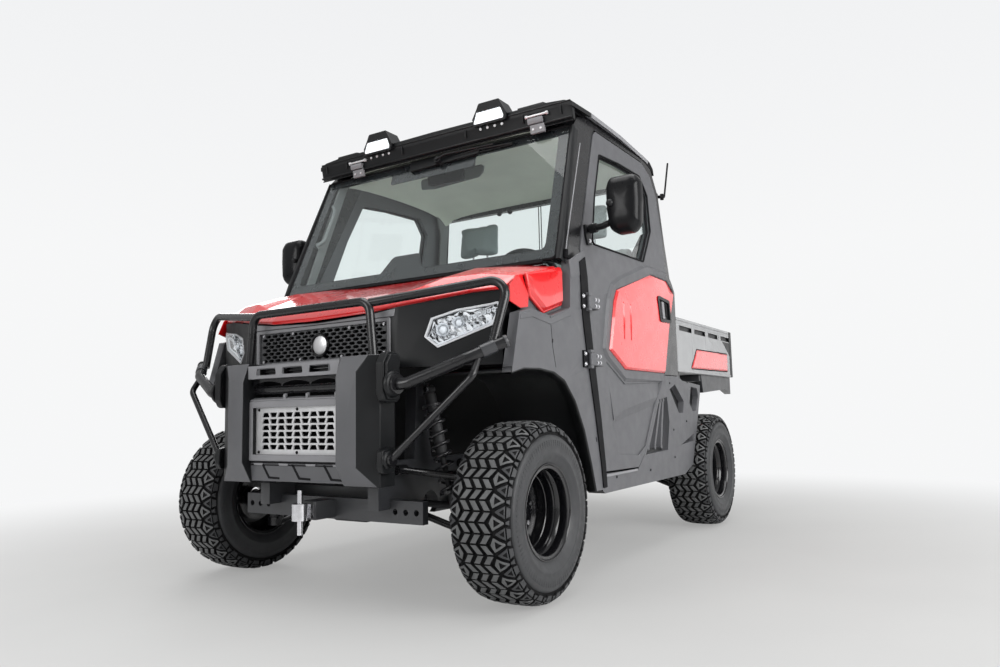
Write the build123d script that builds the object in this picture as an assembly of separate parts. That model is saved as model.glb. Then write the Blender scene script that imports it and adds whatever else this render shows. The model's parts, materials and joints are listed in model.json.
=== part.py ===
"""Side by side utility vehicle with a closed cab, a tubular brush guard and a tipping load bed.

Millimetres.  +X forward, +Y to the vehicle's left, +Z up.  The origin is on the ground,
midway along the vehicle's length and width.  Outlines are given from the front axle
(columns: a = ahead of the front axle, z = height) or from the rear axle (b = ahead of it).
"""
from math import cos, hypot, radians, sin
import os

from build123d import *

# ---------------------------------------------------------------- driving sizes
wheelbase = 2075.0
front_overhang = 447.0          # front axle to the face of the bumper guards
rear_overhang = 708.0           # rear axle to the back of the tailgate
track = 1440.0                  # between the wheels' middles
tyre_radius = 317.5             # over the lugs
tyre_width = 240.0
bead_radius = 152.4
rim_lip_radius = 167.0
rim_width = 208.0
rim_wall = 4.0
disc_offset = 30.0              # wheel disc, inboard of the wheel's middle
hub_radius = 38.0
spindle_radius = 22.0
kingpin_inset = 160.0           # kingpin, inboard of the wheel's middle
kingpin_radius = 12.0
body_half = 780.0               # half width over the door skins
belt_z = 1330.0                 # the sides lean inwards above this height
side_lean = 0.09
door_thickness = 45.0
door_gap = 8.0                  # open seam around a door
insert_proud = 12.0             # coloured door insert, above the door's skin
insert_depth = 12.0
field_depth = 7.0               # recess in the lower part of a door
glass_thickness = 5.0
seat_gap = 0.3                  # pieces that rest on each other without a weld
running_gap = 0.3               # pin or spindle in its bore
fender_proud = 20.0             # fenders, outside the door skins
fender_thickness = 40.0
liner_thickness = 8.0
roof_inset_front = 33.0         # roof edge, inside the door skins
roof_inset_rear = 75.0
bed_half = 740.0
bed_wall = 26.0
bed_floor = 20.0
bed_front_a = -1658.0           # front wall of the bed, just behind the cab
bed_floor_z = 890.0
bed_rail_z = 1165.0
tailgate_thickness = 16.0
tailgate_gap = 5.0
bed_pivot_b = -512.0
bed_pivot_z = 800.0
bed_pivot_radius = 16.0
frame_half = 280.0              # side rails, middle to middle is twice this
rail_width = 50.0
rail_height = 80.0
rail_z = 330.0                  # underside of the side rails
guard_tube_radius = 16.0
bar_radius = 20.0
strut_radius = 12.0
mirror_reach = 1033.0           # half width over the mirrors
mirror_width = 150.0
steering_wheel_radius = 180.0
steering_rim_radius = 14.0
hitch_bore_radius = 9.5         # drawbar hole of the rear hitch
hitch_plate_thickness = 12.0

# ---------------------------------------------------------------- worked out
overall_length = front_overhang + wheelbase + rear_overhang
front_x = overall_length / 2 - front_overhang
rear_x = front_x - wheelbase
wheel_y = track / 2
axle_z = tyre_radius
kingpin_y = wheel_y - kingpin_inset
fender_half = body_half + fender_proud
fender_inner = fender_half - fender_thickness


# ---------------------------------------------------------------- drawing helpers
def outline(points, grow=0.0):
    """Face inside a closed line of points, its edges moved outwards by grow."""
    face = make_face(Polyline(*points, close=True))
    return offset(face, amount=grow, kind=Kind.INTERSECTION) if grow else face


def block(x0, x1, y0, y1, z0, z1):
    return Pos((x0 + x1) / 2, (y0 + y1) / 2, (z0 + z1) / 2) * Box(x1 - x0, y1 - y0, z1 - z0)


def side_prism(points, y0, y1, grow=0.0, from_x=None):
    """Side view outline of (a, z) points, between two depths."""
    base = front_x if from_x is None else from_x
    shifted = [(base + a, z) for a, z in points]
    solid = extrude(outline(shifted, grow), amount=y1 - y0, dir=(0, 0, 1))
    return Plane.XZ * Pos(0, 0, -y1) * solid


def front_prism(points, x0, x1):
    """Front view outline of (y, z) points, between two stations."""
    return Plane.YZ * Pos(0, 0, x0) * extrude(outline(points), amount=x1 - x0, dir=(0, 0, 1))


def plan_prism(points, z0, z1):
    """Plan outline of (a, y) points, between two heights."""
    shifted = [(front_x + a, y) for a, y in points]
    return Pos(0, 0, z0) * extrude(outline(shifted), amount=z1 - z0, dir=(0, 0, 1))


def rod(start, end, radius):
    start, end = Vector(*start), Vector(*end)
    disc = Plane(origin=start, z_dir=end - start) * Circle(radius)
    return extrude(disc, amount=(end - start).length, dir=end - start)


def tube(points, radius, bend):
    """Round bar along straight runs joined by bends."""
    path = FilletPolyline(*points, radius=bend)
    return sweep(Plane(origin=path @ 0, z_dir=path % 0) * Circle(radius), path=path)


def spun(points, middle=(0, 0, 0)):
    """Ring about the Y direction from (radius, offset along Y) points."""
    return Pos(*middle) * revolve(outline(points), axis=Axis.Y)


def faceted(grid, drop):
    """Panel of flat facets over a grid of points, closed by the same grid moved by drop."""
    low = [[tuple(c + d for c, d in zip(p, drop)) for p in row] for row in grid]
    rows, columns = len(grid), len(grid[0])
    faces = []

    def quad(*corners):
        for picked in ((0, 1, 2), (0, 2, 3)):
            faces.append(Face(Wire.make_polygon([Vector(*corners[i]) for i in picked], close=True)))

    for i in range(rows - 1):
        for j in range(columns - 1):
            quad(grid[i][j], grid[i][j + 1], grid[i + 1][j + 1], grid[i + 1][j])
            quad(low[i][j], low[i + 1][j], low[i + 1][j + 1], low[i][j + 1])
    for i in range(rows - 1):
        for j in (0, columns - 1):
            quad(grid[i][j], grid[i + 1][j], low[i + 1][j], low[i][j])
    for j in range(columns - 1):
        for i in (0, rows - 1):
            quad(grid[i][j], low[i][j], low[i][j + 1], grid[i][j + 1])
    return Solid(Shell(faces))


def mirrored_grid(rows):
    """Rows given from the middle out to the left, completed to the right."""
    return [[(x, -y, z) for x, y, z in reversed(row[1:])] + row for row in rows]


def flipped(shape):
    return mirror(shape, about=Plane.XZ)


def pair(shape):
    return [shape, flipped(shape)]


def fused(shapes):
    shapes = list(shapes)
    total = shapes[0]
    for shape in shapes[1:]:
        total = total + shape
    return total


def write(name, *shapes):
    """One STEP file per node; a node may hold several solids that don't touch."""
    solids = [solid for shape in shapes for solid in shape.solids()]
    export_step(Compound(children=solids) if len(solids) > 1 else solids[0], f"parts/{name}.step")


os.makedirs("parts", exist_ok=True)

# ---------------------------------------------------------------- wheels
half_width = tyre_width / 2
bead_y = 94.5
lug_pitches = 20                # lugs round each side of the tread
lug_share = 0.54                # of a pitch
lug_height = 11.0
tread_gap = 6.0                 # half the groove along the tread's middle
lug_angle = 360 / lug_pitches
lug_base = tyre_radius - lug_height
lug_crown = (tyre_radius, half_width - 52)          # radius, offset along the axle
lug_shoulder = (tyre_radius - 22, half_width - 8)
tread_shoulder = (lug_base, half_width - 50)
wall_top = (tyre_radius - 25, half_width - 8)
corner_share = 1 / cos(radians(lug_angle / 2))      # corner of a flat sided ring over its flat's middle
bead_corner = (bead_radius + running_gap) * corner_share
lip_corner = (rim_lip_radius + 4) * corner_share
tyre_wall = [(250.0, half_width), (lip_corner, bead_y + 4), (bead_corner, bead_y), (bead_corner, bead_y - 16),
             (250.0, half_width - 14), (tyre_radius - 28, half_width - 50)]


def around(place, side, angles):
    """Points of a closed ring on one side of the tyre, as (angle, point)."""
    radius, offset_y = place
    return [(a, (radius * cos(radians(a)), side * offset_y, radius * sin(radians(a)))) for a in angles]


def flat(points):
    return Face(Wire.make_polygon([Vector(*point) for point in points], close=True))


def joined(one, other):
    """Flat faces between two rings: quads where their angles agree, or else triangles."""
    if [a for a, _ in one] == [a for a, _ in other]:
        steps = zip(one, one[1:] + one[:1], other[1:] + other[:1], other)
        return [flat([p for _, p in corners]) for corners in steps]
    faces = []
    i = j = 0
    while i < len(one) or j < len(other):
        next_one = one[(i + 1) % len(one)][0] + 360 * ((i + 1) // len(one))
        next_other = other[(j + 1) % len(other)][0] + 360 * ((j + 1) // len(other))
        here, there = one[i % len(one)][1], other[j % len(other)][1]
        if j == len(other) or (i < len(one) and next_one <= next_other):
            i += 1
            faces.append(flat([here, one[i % len(one)][1], there]))
        else:
            j += 1
            faces.append(flat([here, other[j % len(other)][1], there]))
    return faces


def lugged_tyre():
    """Tyre of flat faces: lugs on both sides of the tread, half a pitch apart, and a hollow carcass."""
    middles = [lug_angle * k for k in range(lug_pitches)]
    edges = [m + side * lug_angle * lug_share / 2 for m in middles for side in (-1, 1)]
    faces, crown_edges, hollow_edges = [], [], []
    first = lug_angle * lug_share / 2       # the edge of a lug points straight down
    for side, turn in ((1, first), (-1, first + lug_angle / 2)):
        at = [a + turn for a in edges]
        lines = [around((lug_base, tread_gap), side, at), around((tyre_radius, tread_gap), side, at),
                 around(lug_crown, side, at), around(lug_shoulder, side, at), around(wall_top, side, at),
                 around(tread_shoulder, side, at)]
        inner_foot, inner_tip, crown, shoulder, foot, floor = [[p for _, p in line] for line in lines]
        for k in range(0, len(at), 2):
            lug, gap = (k, k + 1), (k + 1, (k + 2) % len(at))
            for low, high in ((inner_foot, inner_tip), (inner_tip, crown), (crown, shoulder), (shoulder, foot)):
                faces.append(flat([low[lug[0]], low[lug[1]], high[lug[1]], high[lug[0]]]))
            for low, high in ((inner_foot, floor), (floor, foot)):
                faces.append(flat([low[gap[0]], low[gap[1]], high[gap[1]], high[gap[0]]]))
            for i in lug:
                faces.append(flat([line[i] for line in (inner_foot, inner_tip, crown, shoulder, foot, floor)]))
        walls = [around(place, side, [m + turn for m in middles]) for place in tyre_wall]
        faces += joined(lines[4], walls[0])
        for one, other in zip(walls, walls[1:]):
            faces += joined(one, other)
        crown_edges.append(lines[0])
        hollow_edges.append(walls[-1])
    return Solid(Shell(faces + joined(*crown_edges) + joined(*hollow_edges)))


rim_half = rim_width / 2
rim_outside = [  # columns: radius, offset along the axle, outboard side first
    (rim_lip_radius, rim_half), (rim_lip_radius, rim_half - 4),
    (bead_radius, rim_half - 9), (bead_radius, 62.0),
    (134.0, 46.0), (134.0, -46.0), (bead_radius, -62.0), (bead_radius, 9 - rim_half),
    (rim_lip_radius, 4 - rim_half), (rim_lip_radius, -rim_half)]
rim_inside = [(bead_radius - rim_wall, -rim_half), (bead_radius - rim_wall, -62 + rim_wall),
              (134 - rim_wall, -46 + rim_wall), (134 - rim_wall, 46 - rim_wall),
              (bead_radius - rim_wall, 62 - rim_wall), (bead_radius - rim_wall, rim_half)]
hub_inner = 70.0                # ends of the hub sleeve, inboard of the wheel's middle
hub_outer = 12.0
disc_thickness = 8.0
window_circle = 92.0
disc_edge = 134 - rim_wall / 2
rim_disc = [(hub_radius - 10, -disc_offset), (disc_edge, -disc_offset),
            (disc_edge, -disc_offset - disc_thickness), (hub_radius - 10, -disc_offset - disc_thickness)]
rim_hub = [(spindle_radius + running_gap, -hub_inner), (hub_radius, -hub_inner), (hub_radius, -hub_outer),
           (hub_radius - 10, -hub_outer + 10), (0, -hub_outer + 10), (0, -hub_outer),
           (spindle_radius + running_gap, -hub_outer)]
rim_windows = [Pos(window_circle * cos(radians(a)), -disc_offset, window_circle * sin(radians(a)))
               * Rot(90, 0, 0) * Cylinder(17, 40) for a in range(0, 360, 45)]
left_rim = fused([spun(rim_outside + rim_inside), spun(rim_disc), spun(rim_hub)]) - fused(rim_windows)
tyre = lugged_tyre()
axles = {"front": front_x, "rear": rear_x}
for end, axle_x in axles.items():
    for side, sign, rim in (("left", 1, left_rim), ("right", -1, flipped(left_rim))):
        place = Pos(axle_x, sign * wheel_y, axle_z)
        write(f"{end}_{side}_tyre", place * tyre)
        write(f"{end}_{side}_rim", place * rim)

# ---------------------------------------------------------------- knuckles and hubs
upright_half = 88.0             # half height between the two ball joints
eye_height = 34.0
eye_radius = 34.0
upright_radius = 26.0
spindle_end = hub_outer + 1.0


def knuckle(x, y_pin, stub):
    """Upright with a spindle for the wheel and, where it steers, a stub at each ball joint."""
    body = rod((x, y_pin, axle_z - upright_half), (x, y_pin, axle_z + upright_half), upright_radius)
    body += rod((x, y_pin, axle_z), (x, wheel_y - spindle_end, axle_z), spindle_radius)
    body += rod((x, y_pin, axle_z), (x, wheel_y - hub_inner - 3, axle_z), spindle_radius + 14)
    if stub:
        reach = upright_half + eye_height
        body += rod((x, y_pin, axle_z - reach), (x, y_pin, axle_z + reach), kingpin_radius)
    return body


left_knuckle = knuckle(front_x, kingpin_y, True)
write("left_knuckle", left_knuckle)
write("right_knuckle", flipped(left_knuckle))

# ---------------------------------------------------------------- axles and suspension
diff_half = 95.0
diff_length_half = 130.0 - seat_gap
diff_height = 150.0
shaft_radius = 13.0
diff_z = axle_z + 12
half_shaft_end = kingpin_y - upright_radius - 2
axle_pieces = []
for axle_x in axles.values():
    housing = block(axle_x - diff_length_half, axle_x + diff_length_half, -diff_half, diff_half,
                    diff_z - diff_height / 2, diff_z + diff_height / 2)
    housing = fillet(housing.edges(), 20)
    shafts = [rod((axle_x, diff_half - 10, diff_z), (axle_x, half_shaft_end, axle_z), shaft_radius)]
    boots = [rod((axle_x, diff_half - 10, diff_z), (axle_x, diff_half + 70, diff_z), 34),
             rod((axle_x, half_shaft_end - 70, axle_z + 1), (axle_x, half_shaft_end, axle_z), 32)]
    axle_pieces.append(fused([housing] + [p for s in shafts + boots for p in pair(s)]))
prop_z = diff_z - 40
prop_shaft = rod((rear_x + diff_length_half + seat_gap, 0, prop_z),
                 (front_x - diff_length_half - seat_gap, 0, prop_z), 20)
write("axles", *axle_pieces, prop_shaft)

arm_radius = 13.0
arm_inner_y = frame_half + rail_width / 2 + seat_gap
arms = []
# columns: name, eye height above the axle, inner pivot height above the axle, spread of the inner pivots
arm_table = [("lower", -upright_half - eye_height / 2, 5.0, 150.0),
             ("upper", upright_half + eye_height / 2, 150.0, 200.0)]
for axle_x in axles.values():
    for name, eye_dz, inner_dz, spread in arm_table:
        eye_z = axle_z + eye_dz
        sign = 1 if eye_dz > 0 else -1
        eye = rod((axle_x, kingpin_y, eye_z - eye_height / 2 + seat_gap * (sign > 0)),
                  (axle_x, kingpin_y, eye_z + eye_height / 2 - seat_gap * (sign < 0)), eye_radius)
        legs = [rod((axle_x + s * 8, kingpin_y - 26, eye_z),
                    (axle_x + s * spread, arm_inner_y + 16, axle_z + inner_dz), arm_radius) for s in (-1, 1)]
        barrels = [rod((axle_x + s * spread - 25, arm_inner_y + 18, axle_z + inner_dz),
                       (axle_x + s * spread + 25, arm_inner_y + 18, axle_z + inner_dz), 18) for s in (-1, 1)]
        bore = rod((axle_x, kingpin_y, eye_z - 60), (axle_x, kingpin_y, eye_z + 60),
                   kingpin_radius + running_gap)
        arms.append(fused([eye] + legs + barrels) - bore)
rear_upright = knuckle(rear_x, kingpin_y, True)
write("suspension_arms", *[p for arm in arms for p in pair(arm)])
write("rear_hubs", *pair(rear_upright))

# coil-over units, from the lower arms up to brackets on the frame's towers
coil_foot_y = kingpin_y - 100.0
coil_shift = 54.0               # ahead of the axle, clear of the half shaft
coil_top_z = 760.0
coil_top_y = 345.0
coil_radius = 26.0
coil_eye_radius = 16.0
lower_inner_z, lower_eye_z = axle_z + arm_table[0][2], axle_z + arm_table[0][1]
arm_share = (kingpin_y - 26 - coil_foot_y) / (kingpin_y - 26 - arm_inner_y - 16)
coil_foot_z = lower_eye_z + arm_share * (lower_inner_z - lower_eye_z) + arm_radius + coil_eye_radius + 4.0
coils = []
for axle_x in axles.values():
    coil_x = axle_x + coil_shift
    foot = (coil_x, coil_foot_y, coil_foot_z)
    head = (coil_x, coil_top_y, coil_top_z)
    axis = Vector(*head) - Vector(*foot)
    spring_from, spring_to = (Vector(*foot) + axis * share for share in (0.2, 0.86))
    unit = rod(foot, head, 12) + rod(tuple(spring_from), tuple(spring_to), coil_radius)
    unit += rod((coil_x - 14, coil_foot_y, coil_foot_z), (coil_x + 14, coil_foot_y, coil_foot_z),
                coil_eye_radius)
    unit += rod((coil_x, coil_top_y - 14, coil_top_z), (coil_x, coil_top_y + 14, coil_top_z), 20)
    coils.append(unit)

# ---------------------------------------------------------------- chassis frame
frame_front_a = 300.0
frame_rear_b = -520.0
frame_front_x = front_x + frame_front_a
frame_rear_x = rear_x + frame_rear_b
rail_top = rail_z + rail_height
outer_rail = frame_half + rail_width / 2
inner_rail = frame_half - rail_width / 2
cross_plate_half = 455.0        # clear of the tyres at full lock
frame = [block(frame_rear_x, frame_front_x, inner_rail, outer_rail, rail_z, rail_top)]
tower_half = 230.0
for axle_x in axles.values():
    frame.append(block(axle_x - tower_half, axle_x + tower_half, frame_half, outer_rail,
                       rail_z - 40, rail_top + 90))
    frame.append(side_prism([(-20, rail_top), (100, rail_top), (coil_shift + 26, coil_top_z + 30),
                             (coil_shift - 26, coil_top_z + 30)], inner_rail, outer_rail, from_x=axle_x))
    frame.append(block(axle_x + coil_shift - 22, axle_x + coil_shift + 22, outer_rail - 5,
                       coil_top_y - 14 - seat_gap, coil_top_z - 24, coil_top_z + 24))
cab_front_a = -480.0
cab_rear_a = -1530.0
outrigger_half = body_half - 80.0
tub_wall = 30.0
floor_z = rail_top + seat_gap + tub_wall
for a in (cab_front_a - 60, (cab_front_a + cab_rear_a) / 2, cab_rear_a + 60):
    frame.append(block(front_x + a - 20, front_x + a + 20, inner_rail, outrigger_half, rail_z + 10,
                       rail_top))
pivot_x = rear_x + bed_pivot_b
pivot_bracket = [(-45, rail_top - 5), (60, rail_top - 5), (26, bed_pivot_z + 26), (-26, bed_pivot_z + 26)]
frame.append(side_prism(pivot_bracket, inner_rail, inner_rail + 20, from_x=pivot_x))
engine_cross_a = -1065.0
frame.append(block(front_x + 262, front_x + 298, inner_rail + 7, outer_rail - 7, rail_top - 5, 640))
frame_pieces = [p for shape in frame for p in pair(shape)]
for x in (frame_rear_x + 20, rear_x - 150, rear_x + 150, front_x + cab_rear_a + 60, front_x + engine_cross_a,
          front_x + cab_front_a - 60, front_x - 150, front_x + 150):
    frame_pieces.append(block(x - 20, x + 20, -inner_rail - 5, inner_rail + 5, rail_z + 5, rail_z + 65))
cross_plate = block(frame_front_x - 90, frame_front_x - 60, -cross_plate_half, cross_plate_half, 282, 362)
plate_holes = [rod((frame_front_x - 120, s * y, 322), (frame_front_x - 30, s * y, 322), 11)
               for y in (330, 378, 426) for s in (-1, 1)]
frame_pieces.append(cross_plate - fused(plate_holes))
frame_pieces.append(block(frame_front_x - 91, frame_front_x + 40, -40, 40, 290, 356))
hitch_x = frame_rear_x - 110
hitch_z = rail_z + 20
hitch = block(hitch_x, frame_rear_x + 30, -40, 40, hitch_z, hitch_z + hitch_plate_thickness)
hitch_bore = rod((hitch_x + 35, 0, hitch_z - 30), (hitch_x + 35, 0, hitch_z + 60), hitch_bore_radius)
frame_pieces.append(hitch - hitch_bore)
pivot_bore = rod((pivot_x, -400, bed_pivot_z), (pivot_x, 400, bed_pivot_z), bed_pivot_radius + running_gap)
lift_foot_x = rear_x - 380.0
lift_foot_z = 470.0
lift_pin_radius = 10.0
lift_half = 25.0
for s in (-1, 1):
    frame_pieces.append(side_prism([(-30, rail_top - 70), (40, rail_top - 70), (16, lift_foot_z + 16),
                                    (-16, lift_foot_z + 16)], s * 36 - 6, s * 36 + 6, from_x=lift_foot_x))
frame_pieces.append(block(lift_foot_x - 30, lift_foot_x + 40, -inner_rail - 5, inner_rail + 5,
                          rail_z + 5, rail_z + 30))
frame_pieces.append(rod((lift_foot_x, -40, lift_foot_z), (lift_foot_x, 40, lift_foot_z), lift_pin_radius))
shaft_holes = [rod((x, -400, diff_z), (x, 400, diff_z), 45) for x in axles.values()]
chassis = fused(frame_pieces) - pivot_bore - fused(shaft_holes)
write("chassis_frame", chassis)
write("coilovers", *[p for c in coils for p in pair(c)])
engine_x = front_x - 1268.0
engine_low = rail_z + 65 + seat_gap
write("engine_block", block(engine_x - 218, engine_x + 218, -200, 200, engine_low, engine_low + 275))

# ---------------------------------------------------------------- cab side outlines
# columns: a = ahead of the front axle, z
door_points = [(-541, 412), (-515, 633), (-461, 916), (-439, 1047), (-430, 1208), (-409, 1330), (-690, 1915),
               (-720, 1938), (-1290, 1948), (-1390, 1905), (-1444, 1800), (-1452, 1560), (-1438, 1348),
               (-1528, 1292), (-1336, 838), (-1022, 459), (-945, 405)]
window_points = [(-726, 1831), (-615, 1607), (-526, 1370), (-1124, 1388), (-1282, 1572), (-1305, 1774),
                 (-1224, 1862), (-955, 1853)]
insert_points = [(-758, 1203), (-1198, 1335), (-1426, 1335), (-1516, 1289), (-1330, 848), (-826, 848),
                 (-657, 928), (-722, 1147)]
handle_points = [(-1262, 1232), (-1420, 1222), (-1436, 1118), (-1290, 1114)]
side_points = [(-237, 1262), (-497, 1900), (-545, 1952), (-620, 1972), (-1330, 1972), (-1425, 1950),
               (-1489, 1819), (-1490, 1546), (-1500, 1360), (-1560, 1290), (-1560, 842), (-1250, 842),
               (-430, 1262)]


def side_skin(outer, inner):
    """Slab of the cab's side between two depths below its face, leaning in above the belt."""
    top_z, low_z = 2060.0, 300.0
    lean = (top_z - belt_z) * side_lean
    points = [(body_half - outer, low_z), (body_half - outer, belt_z), (body_half - outer - lean, top_z),
              (body_half - inner - lean, top_z), (body_half - inner, belt_z), (body_half - inner, low_z)]
    return front_prism(points, front_x - 2000, front_x + 100)


def side_y(z):
    """Half width over the cab's side at a height."""
    return body_half - max(0.0, z - belt_z) * side_lean


# ---------------------------------------------------------------- doors
hinge_a = -405.0
hinge_y = fender_half + 12
hinge_pin_radius = 6.0
hinge_barrel_radius = 10.0
hinge_half = 25.0
hinges = [(1105.0, -482.0), (872.0, -508.0)]   # columns: height, a of the strap's foot on the door
door_block = side_prism(door_points, 600, 900)
window_hole = side_prism(window_points, 600, 900)
pocket = side_prism(insert_points, body_half - insert_depth - seat_gap, 900, grow=seat_gap)
door_shell = (door_block & side_skin(0, door_thickness)) - window_hole - pocket
lower_field = [(-628, 875), (-821, 782), (-1262, 798), (-1041, 497), (-951, 460), (-725, 473), (-675, 624)]
door_shell -= side_prism(lower_field, body_half - field_depth, 900)
for hinge_z, strap_a in hinges:
    strap_points = [(hinge_a, hinge_y - 8), (hinge_a, hinge_y + 8), (strap_a, hinge_y + 8),
                    (strap_a - 14, hinge_y), (strap_a - 14, body_half - 1), (strap_a, body_half - 1),
                    (strap_a, hinge_y - 8)]
    strap = plan_prism(strap_points, hinge_z - hinge_half, hinge_z + hinge_half)
    axis_x = front_x + hinge_a
    strap += rod((axis_x, hinge_y, hinge_z - hinge_half), (axis_x, hinge_y, hinge_z + hinge_half),
                 hinge_barrel_radius)
    door_shell += strap - rod((axis_x, hinge_y, hinge_z - 60), (axis_x, hinge_y, hinge_z + 60),
                              hinge_pin_radius + running_gap)
insert = side_prism(insert_points, body_half - insert_depth, body_half + insert_proud)
insert -= side_prism(handle_points, body_half, 900)
door_glass = side_prism(window_points, 600, 900, grow=-seat_gap)
door_glass &= side_skin(door_thickness / 2 - glass_thickness / 2, door_thickness / 2 + glass_thickness / 2)
mirror_a, mirror_z = -450.0, 1500.0
mirror_inner = mirror_reach - mirror_width
mirror_half_height = 124.0
mirror_head = block(front_x + mirror_a - 40, front_x + mirror_a + 30, mirror_inner, mirror_reach,
                    mirror_z - mirror_half_height, mirror_z + mirror_half_height)
mirror_head = fillet(mirror_head.edges().filter_by(Axis.X), 45)
arm_z = 1412.0
arm_y = side_y(arm_z)
mirror_foot = block(front_x - 512, front_x - 462, arm_y - 3, arm_y + 12, arm_z - 32, arm_z + 32)
elbow = (front_x - 475, mirror_inner + 40)
mirror_arm = rod((front_x - 487, arm_y + 6, arm_z), (*elbow, arm_z + 10), 13)
mirror_arm += rod((*elbow, arm_z - 10), (*elbow, mirror_z), 12)
mirror_unit = (mirror_head + mirror_arm + mirror_foot) - side_skin(-seat_gap, 400)
for side, place in (("left", lambda s: s), ("right", flipped)):
    write(f"{side}_door_shell", place(door_shell))
    write(f"{side}_door_insert", place(insert))
    write(f"{side}_door_glass", place(door_glass))
    write(f"{side}_mirror", place(mirror_unit))

# ---------------------------------------------------------------- cab frame
pillar = 62.0
frame_side = (side_prism(side_points, 600, 900) & side_skin(4, 4 + pillar))
frame_side -= side_prism(door_points, 600, 900, grow=door_gap)
screen_foot = (-237.0, 1262.0)
screen_head = (-497.0, 1900.0)
cab = pair(frame_side)
cowl_half, header_half = side_y(1262) - 30, side_y(1900) - 10
cab.append(side_prism([(-237, 1262), (-258, 1313), (-300, 1300), (-300, 1262)], -cowl_half, cowl_half))
cab.append(side_prism([(-485, 1870), (-497, 1900), (-545, 1952), (-590, 1955), (-520, 1870)],
                      -header_half, header_half))
rear_top_z = 1965.0
rear_top_half = side_y(rear_top_z) - 30
cab.append(block(front_x - 1489, front_x - 1455, -rear_top_half, rear_top_half, 1880, rear_top_z))
inner_half = body_half - door_thickness - door_gap
cab.append(block(front_x - 1560, front_x - 1500, -inner_half, inner_half, 1290, 1350))
cab.append(block(front_x - 1560, front_x - 1535, -inner_half, inner_half, 850, 1350))
cab_posts = [block(front_x - 1556, front_x - 1533, y - 25, y + 25, rail_top + seat_gap, 900)
             for y in (-frame_half, frame_half)]
write("cab_frame", fused(cab + cab_posts))

run = hypot(screen_foot[0] - screen_head[0], screen_foot[1] - screen_head[1])
screen_dx = (screen_head[1] - screen_foot[1]) / run
screen_dz = (screen_foot[0] - screen_head[0]) / run


def on_screen(t, off):
    """Point of the windscreen's side line at a share of its height, moved off its plane."""
    a = screen_foot[0] + t * (screen_head[0] - screen_foot[0]) + off * screen_dx
    z = screen_foot[1] + t * (screen_head[1] - screen_foot[1]) + off * screen_dz
    return a, z


screen_side = [on_screen(0.0, seat_gap), on_screen(0.0, glass_thickness + seat_gap),
               on_screen(1.0, glass_thickness + seat_gap), on_screen(1.0, seat_gap)]
windscreen = side_prism(screen_side, -body_half, body_half)
screen_foot_half, screen_head_half = body_half - 24, side_y(1900) - 16
screen_edge = [(-screen_foot_half, 1200), (-screen_head_half, 1910), (screen_head_half, 1910),
               (screen_foot_half, 1200)]
windscreen &= front_prism(screen_edge, front_x - 700, front_x)
rear_glass_half = body_half - 140.0
rear_glass_x = front_x - 1489 - seat_gap
rear_glass = block(rear_glass_x - glass_thickness, rear_glass_x, -rear_glass_half, rear_glass_half, 1352, 1930)
write("cab_glass", windscreen, rear_glass)

# ---------------------------------------------------------------- cab tub, dashboard, seats
tub_half = body_half - 90.0
seat_base_z = 730.0
riser_a = -1010.0               # front of the seat base
tub_line = [(-285, 1255), (-335, 850), (-485, floor_z), (riser_a, floor_z), (riser_a, seat_base_z),
            (-1520, seat_base_z), (-1520, 1285)]
tub_back = [(-1532, 1285), (-1532, seat_base_z - tub_wall), (riser_a - tub_wall, seat_base_z - tub_wall),
            (riser_a - tub_wall, floor_z - tub_wall), (-478, floor_z - tub_wall), (-318, 840), (-268, 1255)]
write("cab_tub", side_prism(tub_line + tub_back, -tub_half, tub_half))
dash_points = [(-290, 1240), (-500, 1225), (-520, 1120), (-470, 960), (-322, 960)]
dash = side_prism(dash_points, -tub_half + 2, tub_half - 2)
driver_y = 350.0
wheel_a, wheel_z = -735.0, 1275.0
wheel_tilt = 32.0
column_dir = Vector(cos(radians(wheel_tilt)), 0, -sin(radians(wheel_tilt)))
wheel_middle = Vector(front_x + wheel_a, driver_y, wheel_z)
column = rod(tuple(wheel_middle + column_dir * 30), tuple(wheel_middle + column_dir * 260), 24)
write("dashboard", dash + column)
rim_centre_radius = steering_wheel_radius - steering_rim_radius
wheel_local = Torus(rim_centre_radius, steering_rim_radius) + Pos(0, 0, 15) * Cylinder(34, 30 - 2 * running_gap)
for angle in (0, 180, 270):
    wheel_local += Rot(0, 0, angle) * Pos(rim_centre_radius / 2 + 8, 0, 4) * Box(rim_centre_radius - 16, 26, 7)
steering_wheel = Plane(origin=wheel_middle, x_dir=(0, 1, 0), z_dir=column_dir).location * wheel_local
write("steering_wheel", steering_wheel)

seats = []
for y in (driver_y, -driver_y):
    cushion = block(front_x - 1440, front_x - 960, y - 290, y + 290, seat_base_z + seat_gap, 860)
    backrest = side_prism([(-1400, 850), (-1280, 850), (-1330, 1550), (-1425, 1550)], y - 280, y + 280)
    headrest = side_prism([(-1310, 1585), (-1330, 1805), (-1410, 1805), (-1405, 1585)], y - 145, y + 145)
    posts = [rod((front_x - 1370, y + s * 70, 1530), (front_x - 1362, y + s * 70, 1600), 7) for s in (-1, 1)]
    seats.append(fused([fillet(cushion.edges(), 30), fillet(backrest.edges(), 25), fillet(headrest.edges(), 20)]
                       + posts))
write("seats", *seats)

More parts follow.
